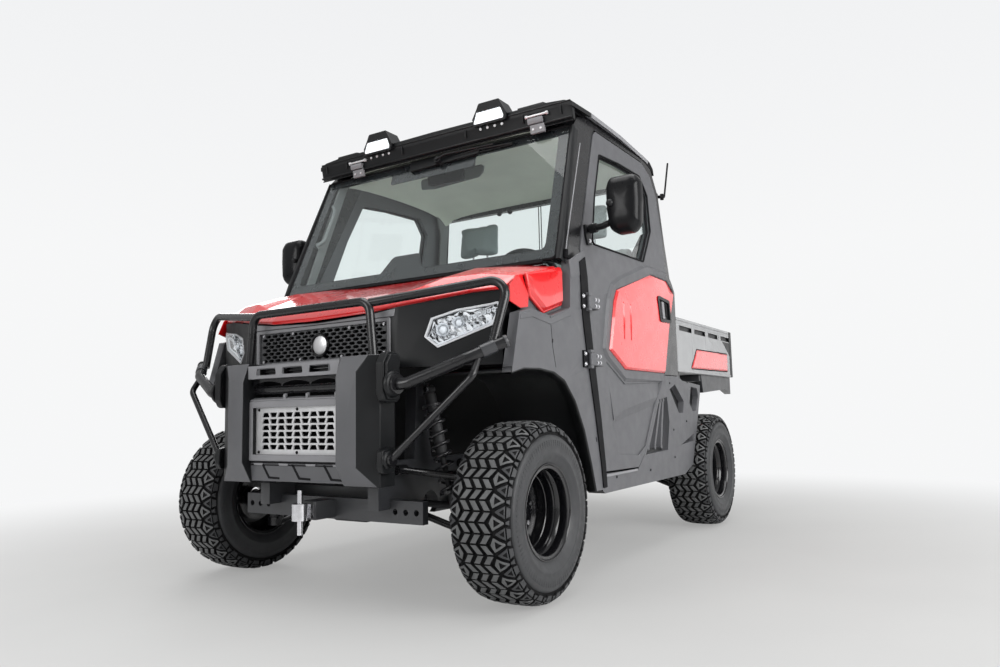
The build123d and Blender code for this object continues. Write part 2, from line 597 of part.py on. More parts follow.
# ---------------------------------------------------------------- roof
roof_half_front = body_half - roof_inset_front
roof_half_rear = body_half - roof_inset_rear
roof_rows = [  # columns: a, half width, height at the edge, height at the middle
    (-448, roof_half_front, 2000, 2014), (-640, roof_half_front - 2, 2012, 2042),
    (-1000, roof_half_front - 12, 2020, 2052), (-1380, roof_half_rear + 13, 2014, 2044),
    (-1500, roof_half_rear, 1996, 2020)]
roof_grid = []
for a, half, edge, mid in roof_rows:
    section = [(0, mid), (half - 130, mid - 6), (half - 40, edge), (half, edge - 16)]
    roof_grid.append([(front_x + a, y, z) for y, z in section])
roof = faceted(mirrored_grid(roof_grid), (0, 0, -20.0))
visor_half = roof_half_front - 6
visor_points = [(-449, 1990), (-449, 1975), (-462, 1915), (-485, 1915), (-478, 1960), (-500, 1984)]
visor = side_prism(visor_points, -visor_half, visor_half)
roof_rest_y = body_half - 90.0
roof_rests = [block(front_x - 1300, front_x - 700, y - 12, y + 12, 1972 + seat_gap, 2012)
              for y in (-roof_rest_y, roof_rest_y)]
write("roof", fused([roof, visor] + roof_rests))

# ---------------------------------------------------------------- front fenders and side panels
arch = [(190, 800), (110, 818), (-3, 821), (-110, 812), (-195, 783), (-280, 705), (-353, 591),
        (-410, 450), (-444, 345)]
fender_top = [(-545, 345), (-536, 444), (-508, 633), (-453, 916), (-431, 1047), (-422, 1208), (-404, 1325),
              (-272, 1258), (-258, 1066), (-91, 1018), (50, 1032), (130, 1010)]
fender_shell = side_prism(arch + fender_top, fender_inner, fender_half)
fender_cut = side_prism(door_points, 600, 900, grow=door_gap)
backing = side_prism([(-430, 1250), (-250, 1192), (20, 1132), (60, 1060), (50, 1000), (-430, 1000)],
                     fender_inner - 14, fender_inner)
liner_inner = 440.0             # inboard edge of the wheel arch liner
liner = side_prism(arch + [(a - 6, z + liner_thickness) for a, z in reversed(arch)], liner_inner, fender_inner)
fender = (fender_shell + backing + liner) - fender_cut
fender -= side_prism(side_points, 600, 900, grow=seat_gap)
for hinge_z, strap_a in hinges:
    axis_x = front_x + hinge_a
    fender += rod((axis_x, hinge_y, hinge_z - hinge_half - 12), (axis_x, hinge_y, hinge_z + hinge_half + 12),
                  hinge_pin_radius)
    for low in (hinge_z - hinge_half - 12, hinge_z + hinge_half + seat_gap):
        fender += block(axis_x - 10, axis_x + 16, fender_half - 5, hinge_y + 9, low, low + 12 - seat_gap)
write("front_fenders", *pair(fender))

sill_low = 322.0
rear_arch = [(475, sill_low), (338, 364), (240, 560), (154, 754), (150, 800)]     # columns: b, z
side_panel_points = [(-552, 335), (-575, sill_low)] + [(b - wheelbase, z) for b, z in rear_arch]
side_panel_points += [(-1620, 818), (-1560, 838), (-1250, 838), (-900, 500), (-552, 440)]
side_panel = side_prism(side_panel_points, outrigger_half + seat_gap, body_half - 4)
side_panel -= side_prism(door_points, 600, 900, grow=door_gap)
louvre = [(-1262, 716), (-1372, 728), (-1392, 600), (-1352, 462), (-1052, 455)]
pockets = [[(-1415, 768), (-1500, 796), (-1632, 706), (-1612, 645), (-1545, 645)],
           [(-1725, 700), (-1762, 788), (-1868, 780), (-1884, 735), (-1836, 655), (-1776, 652)],
           [(-1560, 478), (-1776, 530), (-1770, 492)]]
pocket_depth = 36.0
for points in [louvre] + pockets:
    side_panel -= side_prism(points, body_half - pocket_depth, 900)
slats = [((-1272, 712), (-1108, 478)), ((-1306, 716), (-1196, 478)), ((-1342, 718), (-1284, 478))]
slat_half, slat_top = 11.0, body_half - 14
for (a0, z0), (a1, z1) in slats:
    points = [(a0 - slat_half, z0), (a0 + slat_half, z0), (a1 + slat_half, z1), (a1 - slat_half, z1)]
    side_panel += side_prism(points, body_half - pocket_depth - 1, slat_top)
write("side_panels", *pair(side_panel))

# ---------------------------------------------------------------- bonnet
bonnet_half = fender_inner - 1.0
bonnet_rows = [  # from the front edge back, and out from the middle; columns: a, share of the half width, z
    [(318, 0, 1040), (300, .33, 1048), (262, .515, 1064), (225, .652, 1079), (172, .831, 1100),
     (132, .98, 1108)],
    [(250, 0, 1092), (240, .33, 1098), (205, .52, 1122), (160, .66, 1160), (110, .845, 1166),
     (75, .995, 1150)],
    [(0, 0, 1176), (0, .33, 1184), (-20, .553, 1208), (-50, .66, 1228), (-50, .845, 1214), (-60, 1, 1188)],
    [(-220, 0, 1248), (-220, .33, 1250), (-222, .527, 1260), (-224, .593, 1262), (-226, .79, 1254),
     (-228, 1, 1230)]]
bonnet_thickness = 14.0
bonnet_grid = [[(front_x + a, share * bonnet_half, z) for a, share, z in row] for row in bonnet_rows]
bonnet = faceted(mirrored_grid(bonnet_grid), (0, 0, -bonnet_thickness))
cowl_points = [(-236, 1228), (30, 1166), (10, 1082), (-91, 1028), (-244, 1076)]
cowl = side_prism(cowl_points, fender_inner + seat_gap, body_half - 6)
write("bonnet", bonnet, *pair(cowl))

# ---------------------------------------------------------------- nose: fascia, grilles, lamps
nose_half = bonnet_half - 24.0
nose_corner = (287.0, 380.0)    # where the flat front turns into the swept sides: a, y
nose_end = (142.0, nose_half)
nose_cheek_a = 20.0             # the nose's sides run back to here
nose_left = [nose_corner, nose_end, (nose_cheek_a, nose_half), (nose_cheek_a, nose_half - 26),
             (118.0, nose_half - 26), (254.0, 350.0)]
nose_plan = nose_left + [(a, -y) for a, y in reversed(nose_left)]
nose_low, nose_high = 832.0, 1100.0
nose = plan_prism(nose_plan, nose_low, nose_high)
under_left = [(y, z - bonnet_thickness - 0.5) for _, y, z in bonnet_grid[0]]
under_left.append((body_half + 20, under_left[-1][1] + 27.5))
nose_cut = [(-y, z) for y, z in reversed(under_left[1:])] + under_left
nose_cut += [(body_half + 20, 1300), (-body_half - 20, 1300)]
nose -= front_prism(nose_cut, front_x, front_x + 500)
grille_half, grille_low, grille_high = 340.0, 880.0, 1003.0
grille_hole = block(front_x + 200, front_x + 400, -grille_half, grille_half, grille_low, grille_high)
sweep_run = Vector(nose_end[0] - nose_corner[0], nose_end[1] - nose_corner[1], 0)
lamp_shares = [  # on the swept face of the nose; columns: share of the way out from its inner corner, z
    (.268, 937), (.334, 1004), (.584, 1032), (.912, 1048), (.975, 1054), (.99, 1024), (.912, 969), (.396, 896)]
lamp_points = [(share * sweep_run.length, z) for share, z in lamp_shares]
nose_sweep = sweep_run.normalized()
lamp_face = Plane(origin=(front_x + nose_corner[0], nose_corner[1], 0), x_dir=nose_sweep,
                  z_dir=nose_sweep.cross(Vector(0, 0, 1)))


def lamp_prism(depth0, depth1, grow=0.0):
    """Headlamp outline between two depths behind the nose's swept face."""
    shape = extrude(outline(lamp_points, grow), amount=depth1 - depth0, dir=(0, 0, 1))
    return lamp_face * Pos(0, 0, -depth1) * shape


nose -= grille_hole + fused(pair(lamp_prism(-60, 60, seat_gap)))
core = block(front_x + 236, front_x + 262 - seat_gap, -330, 330, 505, 860)
nose += core + block(front_x + 225, front_x + 262, -345, 345, nose_low, nose_low + 40)
write("front_fascia", nose)
upper_grille = block(front_x + 268, front_x + 280, -grille_half + seat_gap, grille_half - seat_gap,
                     grille_low + seat_gap, grille_high - seat_gap)
comb_rows, comb_columns = 8, 17
comb_web = 4.0                  # between neighbouring cells
comb_dy = 2 * (grille_half - 8) / (comb_columns + 0.5)
comb_dz = (grille_high - grille_low - 10) / comb_rows
cell = [(-comb_dy / 2 + comb_web / 2, 0), (-comb_dy / 4, comb_dz / 2), (comb_dy / 4, comb_dz / 2),
        (comb_dy / 2 - comb_web / 2, 0), (comb_dy / 4, -comb_dz / 2), (-comb_dy / 4, -comb_dz / 2)]
cells = []
for row in range(comb_rows):
    for column_index in range(comb_columns):
        y = (column_index - (comb_columns - 1) / 2) * comb_dy + (comb_dy / 4 if row % 2 else -comb_dy / 4)
        z = grille_low + 5 + (row + 0.5) * comb_dz
        shrink = 1 - comb_web / (2 * comb_dz)
        cells.append(front_prism([(y + dy, z + dz * shrink) for dy, dz in cell], front_x + 260, front_x + 290))
write("upper_grille", upper_grille - Compound(children=cells))
headlamps = pair(lamp_prism(-4, 30))
work_lamp_y = 333.0
work_lamps = []
for s in (-1, 1):
    points = [(s * work_lamp_y + dy, z) for dy, z in ((-92, 2008), (-53, 2080), (53, 2080), (92, 2008))]
    housing = front_prism(points, front_x - 520, front_x - 428) - Pos(0, 0, seat_gap) * roof
    window = [(s * work_lamp_y + dy, z) for dy, z in ((-68, 2024), (-44, 2068), (44, 2068), (68, 2024))]
    work_lamps.append(housing - front_prism(window, front_x - 436, front_x - 420))
write("headlamps", *headlamps)
write("work_lamps", *work_lamps)

# ---------------------------------------------------------------- bumper, lower grille, brush guard, front coupler
guard_plan = [(447, 240), (441, 330), (400, 402), (330, 408), (330, 240)]
guard_side = [(330, 424), (405, 424), (447, 500), (447, 800), (420, 872), (330, 872)]
guard = plan_prism(guard_plan, 400, 900) & side_prism(guard_side, 200, 420)
slot_bar = block(front_x + 385, front_x + 420, -241, 241, 812, 862)
slots = [block(front_x + 370, front_x + 440, y - 48, y + 48, 826, 848) for y in (-130, 0, 130)]
surround = block(front_x + 372, front_x + 412, -241, 241, 508, 727)
surround -= block(front_x + 360, front_x + 430, -222, 222, 528, 704)
skid = side_prism([(372, 508), (405, 508), (398, 430), (372, 430)], -241, 241)
stays = [block(front_x + 298 + seat_gap, front_x + 335, s * frame_half - 18, s * frame_half + 18, 520, 640)
         for s in (-1, 1)]
bumper = fused(pair(guard) + [slot_bar, surround, skid] + stays) - fused(slots)
write("front_bumper", bumper)
plate_half, plate_low, plate_high = 222.0 - seat_gap, 528.0 + seat_gap, 704.0 - seat_gap
plate = block(front_x + 392, front_x + 397, -plate_half, plate_half, plate_low, plate_high)
punch_rows, punch_columns = 6, 9
punch_w, punch_h, punch_dy, punch_dz = 32.0, 17.0, 42.0, 24.0
punch_taper = 3.5               # each hole is a trapezoid, every other one upside down
punches = []
for row in range(punch_rows):
    for column_index in range(punch_columns):
        y = (column_index - (punch_columns - 1) / 2) * punch_dy
        z = (plate_low + plate_high) / 2 + (row - (punch_rows - 1) / 2) * punch_dz
        taper = punch_taper if column_index % 2 else -punch_taper
        hole = [(y - punch_w / 2 + taper, z - punch_h / 2), (y + punch_w / 2 - taper, z - punch_h / 2),
                (y + punch_w / 2 + taper, z + punch_h / 2), (y - punch_w / 2 - taper, z + punch_h / 2)]
        punches.append(front_prism(hole, front_x + 380, front_x + 410))
write("lower_grille", plate - Compound(children=punches))

hoop_a = 345.0
hoop_y, hoop_top = 325.0, 1072.0
hoop = tube([(front_x + hoop_a, -hoop_y, 876), (front_x + hoop_a, -hoop_y + 20, hoop_top),
             (front_x + hoop_a, hoop_y - 20, hoop_top), (front_x + hoop_a, hoop_y, 876)], guard_tube_radius, 48)
bar_points = [(385, 420, 769), (383, 500, 768), (300, 700, 848), (212, 800, 905)]
side_points_guard = [(338, 300, 1066), (165, 786, 1128), (232, 752, 892)]
strut_points = [(262, 722, 868), (318, 726, 785), (391, 440, 516)]


def placed(points):
    return [(front_x + a, y, z) for a, y, z in points]


side_guard = tube(placed(bar_points), bar_radius, 60) + tube(placed(side_points_guard), guard_tube_radius, 55)
side_guard += tube(placed(strut_points), strut_radius, 40)
side_guard += rod((front_x + 385, 402.6, 769), (front_x + 385, 470, 769), 34)
side_guard += rod((front_x + 391, 405.6, 516), (front_x + 391, 452, 516), 22)
side_guard -= guard
cross_tube = rod((front_x + 380, -240 + seat_gap, 770), (front_x + 380, 240 - seat_gap, 770), guard_tube_radius)
write("brush_guard", fused([hoop] + pair(side_guard)), cross_tube)
coupler = block(frame_front_x + 40 + seat_gap, frame_front_x + 60, -32, 32, 300, 350)
coupler += rod((frame_front_x + 80, 0, 292), (frame_front_x + 80, 0, 352), 30)
coupler -= rod((frame_front_x + 80, 0, 200), (frame_front_x + 80, 0, 420), 10 + running_gap)
pin = rod((frame_front_x + 80, 0, 240), (frame_front_x + 80, 0, 400), 10)
write("front_coupler", coupler, pin)

# ---------------------------------------------------------------- load bed
bed_front_x = front_x + bed_front_a
bed_back_x = -overall_length / 2 + tailgate_thickness + tailgate_gap
tub = block(bed_back_x, bed_front_x, -bed_half, bed_half, bed_floor_z - bed_floor, bed_rail_z)
tub -= block(bed_back_x - 10, bed_front_x - bed_wall, -bed_half + bed_wall, bed_half - bed_wall,
             bed_floor_z, bed_rail_z + 10)
slot_count, slot_bridge = 4, 45.0
slot_pitch = (bed_front_x - bed_back_x - 24) / slot_count
slot_width = slot_pitch - slot_bridge
rail_slots = []
for i in range(slot_count):
    x = bed_front_x - 60 - slot_pitch * i - slot_width
    for s in (-1, 1):
        y0, y1 = sorted((s * (bed_half - 12), s * (bed_half + 10)))
        rail_slots.append(block(x, x + slot_width, y0, y1, bed_rail_z - 62, bed_rail_z - 34))
gate_low = bed_floor_z - bed_floor + 8
gate_hinge_x = -overall_length / 2 + tailgate_thickness / 2
gate_hinge_z = gate_low - 6
gate_pin_radius = 5.0
gate_ears = []
tub -= Compound(children=rail_slots)
for y in (-500, 0, 500):
    tub += rod((gate_hinge_x, y - 28, gate_hinge_z), (gate_hinge_x, y + 28, gate_hinge_z), gate_pin_radius)
    for s in (-1, 1):
        y0, y1 = sorted((y + s * 22, y + s * 30))
        tub += block(gate_hinge_x - 7, bed_back_x + 12, y0, y1, gate_hinge_z - 7, gate_hinge_z + 5)
    ear = rod((gate_hinge_x, y - 20, gate_hinge_z), (gate_hinge_x, y + 20, gate_hinge_z), 8)
    ear += block(gate_hinge_x - 6, gate_hinge_x + 6, y - 20, y + 20, gate_hinge_z, gate_low + 6)
    gate_ears.append(ear - rod((gate_hinge_x, y - 40, gate_hinge_z), (gate_hinge_x, y + 40, gate_hinge_z),
                               gate_pin_radius + running_gap))
write("bed_tub", tub)
runner_y = 215.0
under_top = bed_floor_z - bed_floor - seat_gap
under = []
skirt_back = 18 - rear_overhang
for s in (-1, 1):
    under.append(block(bed_back_x + 20, bed_front_x - 30, s * runner_y - 20, s * runner_y + 20,
                       under_top - 60, under_top))
    knee = [(-40, under_top), (40, under_top), (24, bed_pivot_z - 20), (-24, bed_pivot_z - 20)]
    under.append(side_prism(knee, s * runner_y - 20, s * runner_y + 20, from_x=pivot_x))
    y0, y1 = sorted((s * (bed_half - 60), s * (bed_half - 20)))
    skirt = [(-60, under_top), (skirt_back, under_top), (skirt_back, 760), (skirt_back + 130, 790), (-90, 762)]
    under.append(side_prism(skirt, y0, y1, from_x=rear_x))
for x in (bed_back_x + 60, rear_x - 60, bed_front_x - 80):
    under.append(block(x - 25, x + 25, -bed_half + 25, bed_half - 25, under_top - 40, under_top))
lift_eye_b, lift_eye_z = -200.0, 790.0
for s in (-1, 1):
    eye_plate = [(lift_eye_b - 60, under_top), (lift_eye_b + 60, under_top), (lift_eye_b + 18, lift_eye_z - 18),
                 (lift_eye_b - 18, lift_eye_z - 18)]
    under.append(side_prism(eye_plate, s * 40 - 6, s * 40 + 6, from_x=rear_x))
lift_eye_x = rear_x + lift_eye_b
under.append(rod((lift_eye_x, -46, lift_eye_z), (lift_eye_x, 46, lift_eye_z), lift_pin_radius))
under.append(block(lift_eye_x - 40, lift_eye_x + 40, -runner_y, runner_y, under_top - 12, under_top))
pin_half = inner_rail + 24
pivot_pin = rod((pivot_x, -pin_half, bed_pivot_z), (pivot_x, pin_half, bed_pivot_z), bed_pivot_radius)
write("bed_underframe", fused(under) + pivot_pin)
tailgate = block(-overall_length / 2, -overall_length / 2 + tailgate_thickness, -bed_half + 4, bed_half - 4,
                 gate_low, bed_rail_z + 4)
for y in (-500, 0, 500):
    tailgate -= block(gate_hinge_x - 20, gate_hinge_x + 20, y - 34, y + 34, gate_low - 5, gate_low + 4)
write("tailgate", fused([tailgate] + gate_ears))

# ---------------------------------------------------------------- lift cylinder
lift_eye = (lift_eye_x, lift_eye_z)
lift_len = hypot(lift_eye[0] - lift_foot_x, lift_eye[1] - lift_foot_z)
ux, uz = (lift_eye[0] - lift_foot_x) / lift_len, (lift_eye[1] - lift_foot_z) / lift_len


def on_lift(distance):
    return lift_foot_x + ux * distance, 0, lift_foot_z + uz * distance


barrel_length = lift_len - 60.0
lift_rod_radius = 13.0
lift_drift = 7.5                # play of the rod's eye about its pin, which it needs as it swings
barrel = rod(on_lift(10), on_lift(barrel_length), 25)
barrel += rod((lift_foot_x, -lift_half, lift_foot_z), (lift_foot_x, lift_half, lift_foot_z), 24)
barrel -= rod(on_lift(45), on_lift(barrel_length + 20), lift_rod_radius + running_gap)
barrel -= rod((lift_foot_x, -60, lift_foot_z), (lift_foot_x, 60, lift_foot_z), lift_pin_radius + running_gap)
eye_outer = lift_pin_radius + lift_drift + 10
lift_rod = rod(on_lift(50), on_lift(lift_len), lift_rod_radius)
lift_rod += rod((lift_eye[0], -lift_half + 5, lift_eye_z), (lift_eye[0], lift_half - 5, lift_eye_z), eye_outer)
lift_rod -= rod((lift_eye[0], -60, lift_eye_z), (lift_eye[0], 60, lift_eye_z), lift_pin_radius + lift_drift)
write("lift_barrel", barrel)
write("lift_rod", lift_rod)
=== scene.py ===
"""Looks of the side by side utility vehicle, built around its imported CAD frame.

Sizes and places are in millimetres until a Form is finished, which turns them into metres.
A place is (a, y, z): a = ahead of the front axle, y = to the vehicle's left, z = height.
"""
import json
import random
from math import cos, degrees, exp, hypot, pi, radians, sin, tan

import bmesh
import bpy
from mathutils import Matrix, Vector
from mathutils.geometry import delaunay_2d_cdt


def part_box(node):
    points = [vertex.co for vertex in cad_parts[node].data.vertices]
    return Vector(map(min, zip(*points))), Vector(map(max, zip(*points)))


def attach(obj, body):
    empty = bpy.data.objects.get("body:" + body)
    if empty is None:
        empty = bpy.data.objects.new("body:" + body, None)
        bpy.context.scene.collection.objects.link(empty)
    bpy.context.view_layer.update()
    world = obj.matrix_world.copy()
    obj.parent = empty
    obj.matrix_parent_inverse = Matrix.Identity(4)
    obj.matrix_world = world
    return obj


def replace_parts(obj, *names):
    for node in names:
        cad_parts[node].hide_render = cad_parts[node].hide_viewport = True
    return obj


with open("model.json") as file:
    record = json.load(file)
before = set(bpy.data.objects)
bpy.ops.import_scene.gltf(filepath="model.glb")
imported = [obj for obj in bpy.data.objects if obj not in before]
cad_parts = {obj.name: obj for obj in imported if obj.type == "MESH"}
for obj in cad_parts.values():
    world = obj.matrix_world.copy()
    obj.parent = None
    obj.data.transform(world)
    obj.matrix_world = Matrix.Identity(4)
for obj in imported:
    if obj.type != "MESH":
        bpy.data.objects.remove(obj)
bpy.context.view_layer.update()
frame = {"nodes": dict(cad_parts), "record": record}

MM = 0.001
FRONT_AXLE = sum((Vector(c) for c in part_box("front_left_tyre")), Vector()) / 2
REAR_AXLE = sum((Vector(c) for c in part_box("rear_left_tyre")), Vector()) / 2
FRONT_X = FRONT_AXLE.x / MM
WHEELBASE = (FRONT_AXLE.x - REAR_AXLE.x) / MM
WHEEL_Y = FRONT_AXLE.y / MM
AXLE_Z = FRONT_AXLE.z / MM
SIDES = (("left", 1), ("right", -1))

# the vehicle's main sizes, as in the frame
BODY_HALF = 780.0               # half width over the door skins
BELT_Z = 1330.0                 # the sides lean inwards above this height
SIDE_LEAN = 0.09
TYRE_RADIUS = AXLE_Z
BED_HALF = 740.0
HINGE_HEIGHTS = (1105.0, 872.0)
WORK_LAMP_Y = 333.0


# ================================================================ materials
MATERIALS = {}
SLOT_OF = {}                    # material -> the record's slot that it belongs to
PANE_IOR = 1.32


def feed(tree, node, inputs):
    """Sets a node's inputs: each is a value, or the output that is linked to it."""
    for key, value in inputs.items():
        if isinstance(value, bpy.types.NodeSocket):
            tree.links.new(value, node.inputs[key])
        else:
            node.inputs[key].default_value = value


def shader_node(tree, kind, inputs, **settings):
    """New node with its settings and inputs."""
    node = tree.nodes.new("ShaderNode" + kind)
    for key, value in settings.items():
        setattr(node, key, value)
    feed(tree, node, inputs)
    return node


def blank_material(name):
    mat = bpy.data.materials.new(name)
    mat.use_nodes = True
    return mat, mat.node_tree, mat.node_tree.nodes["Principled BSDF"]


def show(tree, output, inputs):
    """Mixes two shaders and sends them to the material's or the world's output."""
    both = shader_node(tree, "MixShader", inputs)
    tree.links.new(both.outputs["Shader"], tree.nodes[output].inputs["Surface"])


def material(name, colour, rough, metallic=0.0, coat=0.0, coat_rough=0.05, mottle=0.06, mottle_scale=6.0,
             rough_spread=0.06, grain=0.0, grain_scale=900.0, orange_peel=0.0, specular=0.5, sheen=0.0,
             edge_lift=0.0, glow=0.0, slot=None):
    """Painted, moulded or bare surface whose colour, gloss and grain vary a little over it."""
    mat, tree, shader = blank_material(name)
    MATERIALS[name], SLOT_OF[name] = mat, slot or name
    place = shader_node(tree, "TexCoord", {}).outputs["Object"]

    def noise(scale, detail):
        return shader_node(tree, "TexNoise", {"Scale": scale, "Detail": detail,
                                              "Vector": place}).outputs["Fac"]

    def spread(source, low, high):
        return shader_node(tree, "MapRange", {"From Min": 0.3, "From Max": 0.7, "To Min": low, "To Max": high,
                                              "Value": source}).outputs["Result"]

    tone = shader_node(tree, "HueSaturation", {
        "Color": (*colour, 1), "Value": spread(noise(mottle_scale, 4), 1 - mottle, 1 + mottle)})
    base = tone.outputs["Color"]
    # the colour lightens towards sharp convex edges, read from the mesh's pointiness
    if edge_lift:
        edge = shader_node(tree, "NewGeometry", {}).outputs["Pointiness"]
        lift = shader_node(tree, "MapRange", {"From Min": 0.54, "From Max": 0.66, "To Max": edge_lift,
                                              "Value": edge})
        edge_tone = shader_node(tree, "Mix", {"A": base, "B": (*(min(1, c * 2.2 + 0.03) for c in colour), 1),
                                        "Factor": lift.outputs["Result"]}, data_type="RGBA")
        base = edge_tone.outputs["Result"]
    gloss = spread(noise(mottle_scale * 3, 3), max(0.0, rough - rough_spread), rough + rough_spread)
    feed(tree, shader, {"Base Color": base, "Roughness": gloss, "Metallic": metallic, "Coat Weight": coat,
                        "Coat Roughness": coat_rough, "Specular IOR Level": specular, "Sheen Weight": sheen,
                        "Emission Color": (*colour, 1), "Emission Strength": glow})
    if grain or orange_peel:
        bump = shader_node(tree, "Bump", {
            "Strength": grain or orange_peel, "Distance": 0.0006 if grain else 0.0009,
            "Height": noise(grain_scale if grain else 90.0, 2)})
        feed(tree, shader, {"Normal": bump.outputs["Normal"]})


def glass(name, tint):
    """Clear or tinted pane that lets the studio light pass, with its gloss from the shader."""
    mat, tree, shader = blank_material(name)
    MATERIALS[name], SLOT_OF[name] = mat, name
    feed(tree, shader, {"Base Color": (*tint, 1), "Roughness": 0.0, "IOR": PANE_IOR,
                        "Transmission Weight": 1.0})
    clear = shader_node(tree, "BsdfTransparent", {"Color": (*tint, 1)})
    rays = shader_node(tree, "LightPath", {})
    show(tree, "Material Output", {"Fac": rays.outputs["Is Shadow Ray"], 1: shader.outputs["BSDF"],
                                   2: clear.outputs["BSDF"]})


material("black_paint", (0.006, 0.006, 0.007), 0.28, coat=0.15, coat_rough=0.12, specular=0.35,
         orange_peel=0.03)
material("frame_paint", (0.022, 0.023, 0.026), 0.42, coat=0.2, coat_rough=0.3, orange_peel=0.08)
material("cast_metal", (0.03, 0.03, 0.032), 0.6, metallic=0.3, grain=0.5, grain_scale=300)
material("engine_metal", (0.12, 0.12, 0.125), 0.55, metallic=0.4, grain=0.4, grain_scale=250)
material("red_paint", (0.60, 0.006, 0.008), 0.3, coat=0.9, coat_rough=0.05, mottle=0.02, orange_peel=0.004,
         specular=0.45)
material("dark_plastic", (0.080, 0.081, 0.087), 0.48, specular=0.42, grain=0.35, grain_scale=700, mottle=0.05,
         edge_lift=0.25)
material("black_plastic", (0.0055, 0.006, 0.0068), 0.4, grain=0.25, grain_scale=600, specular=0.26)
# the tyre's one rubber comes in three tones that stand in for light: the first is the lit tone of the block
# tops, the next is painted deep shade in the grooves, on block sides and in pits, the last is painted half
# shade on the sidewall and on the outward-facing shoulder lugs
material("tyre_rubber", (0.085, 0.087, 0.088), 0.6, mottle=0.16, mottle_scale=40, grain=0.3, grain_scale=420)
material("tyre_deep_painted_shade", (0.004, 0.004, 0.0045), 0.75, mottle=0.1, specular=0.2, slot="tyre_rubber")
material("tyre_half_painted_shade", (0.022, 0.023, 0.025), 0.55, mottle=0.10, mottle_scale=12, grain=0.3, grain_scale=500,
         slot="tyre_rubber")
material("rim_paint", (0.004, 0.004, 0.005), 0.22, coat=0.35, coat_rough=0.05, specular=0.3)
material("silver_metal", (0.62, 0.62, 0.63), 0.36, metallic=0.6, grain=0.1, grain_scale=500)
material("zinc", (0.58, 0.58, 0.60), 0.2, metallic=1.0, mottle=0.1, mottle_scale=60)
material("seat_cover", (0.19, 0.225, 0.225), 0.6, grain=0.5, grain_scale=380, sheen=0.2)
material("bed_steel", (0.27, 0.275, 0.28), 0.42, coat=0.1, coat_rough=0.3, orange_peel=0.08)
glass("lamp_lens", (0.97, 0.985, 1.0))
glass("tinted_glass", (0.905, 0.95, 0.945))
material("reflector", (0.86, 0.87, 0.88), 0.12, metallic=1.0, mottle=0.03, mottle_scale=80, slot="lamp_lens")
material("lamp_white", (0.70, 0.72, 0.74), 0.25, mottle=0.02, specular=0.8, slot="lamp_lens")
# the work lamp windows' glow is painted light, whitening them as the studio light falling on them would
material("lamp_window_painted_light", (0.86, 0.88, 0.9), 0.25, mottle=0.02, specular=0.8, glow=0.5, slot="lamp_lens")
material("grille_web", (0.055, 0.056, 0.06), 0.26, mottle=0.04, slot="dark_plastic")
material("black_gloss", (0.005, 0.0052, 0.006), 0.3, coat=0.06, coat_rough=0.1, specular=0.14, mottle=0.02,
         slot="black_plastic")
material("rubber_seal", (0.006, 0.006, 0.007), 0.7, grain=0.2, grain_scale=300, specular=0.12,
         slot="black_plastic")
# the roof lining's glow is painted light that brightens it; the lining is no lamp
material("headliner", (0.66, 0.70, 0.60), 0.85, glow=0.10, grain=0.6, grain_scale=260, sheen=0.3,
         slot="black_plastic")
material("trim_grey", (0.16, 0.165, 0.165), 0.6, grain=0.4, grain_scale=420, slot="black_plastic")
material("mirror_glass", (0.9, 0.92, 0.93), 0.02, metallic=1.0, mottle=0.01, rough_spread=0.01,
         slot="silver_metal")
material("shade_grey", (0.14, 0.15, 0.155), 0.5, mottle=0.03, slot="black_plastic")
material("grille_grey", (0.19, 0.19, 0.20), 0.4, grain=0.3, grain_scale=700, slot="dark_plastic")
material("frit", (0.014, 0.014, 0.016), 0.3, mottle=0.02, slot="tinted_glass")
material("spring_paint", (0.018, 0.018, 0.02), 0.3, coat=0.5, coat_rough=0.2, slot="black_paint")


# ================================================================ making shapes
ARC_STEP = 12.0                 # most degrees between two points of a bend


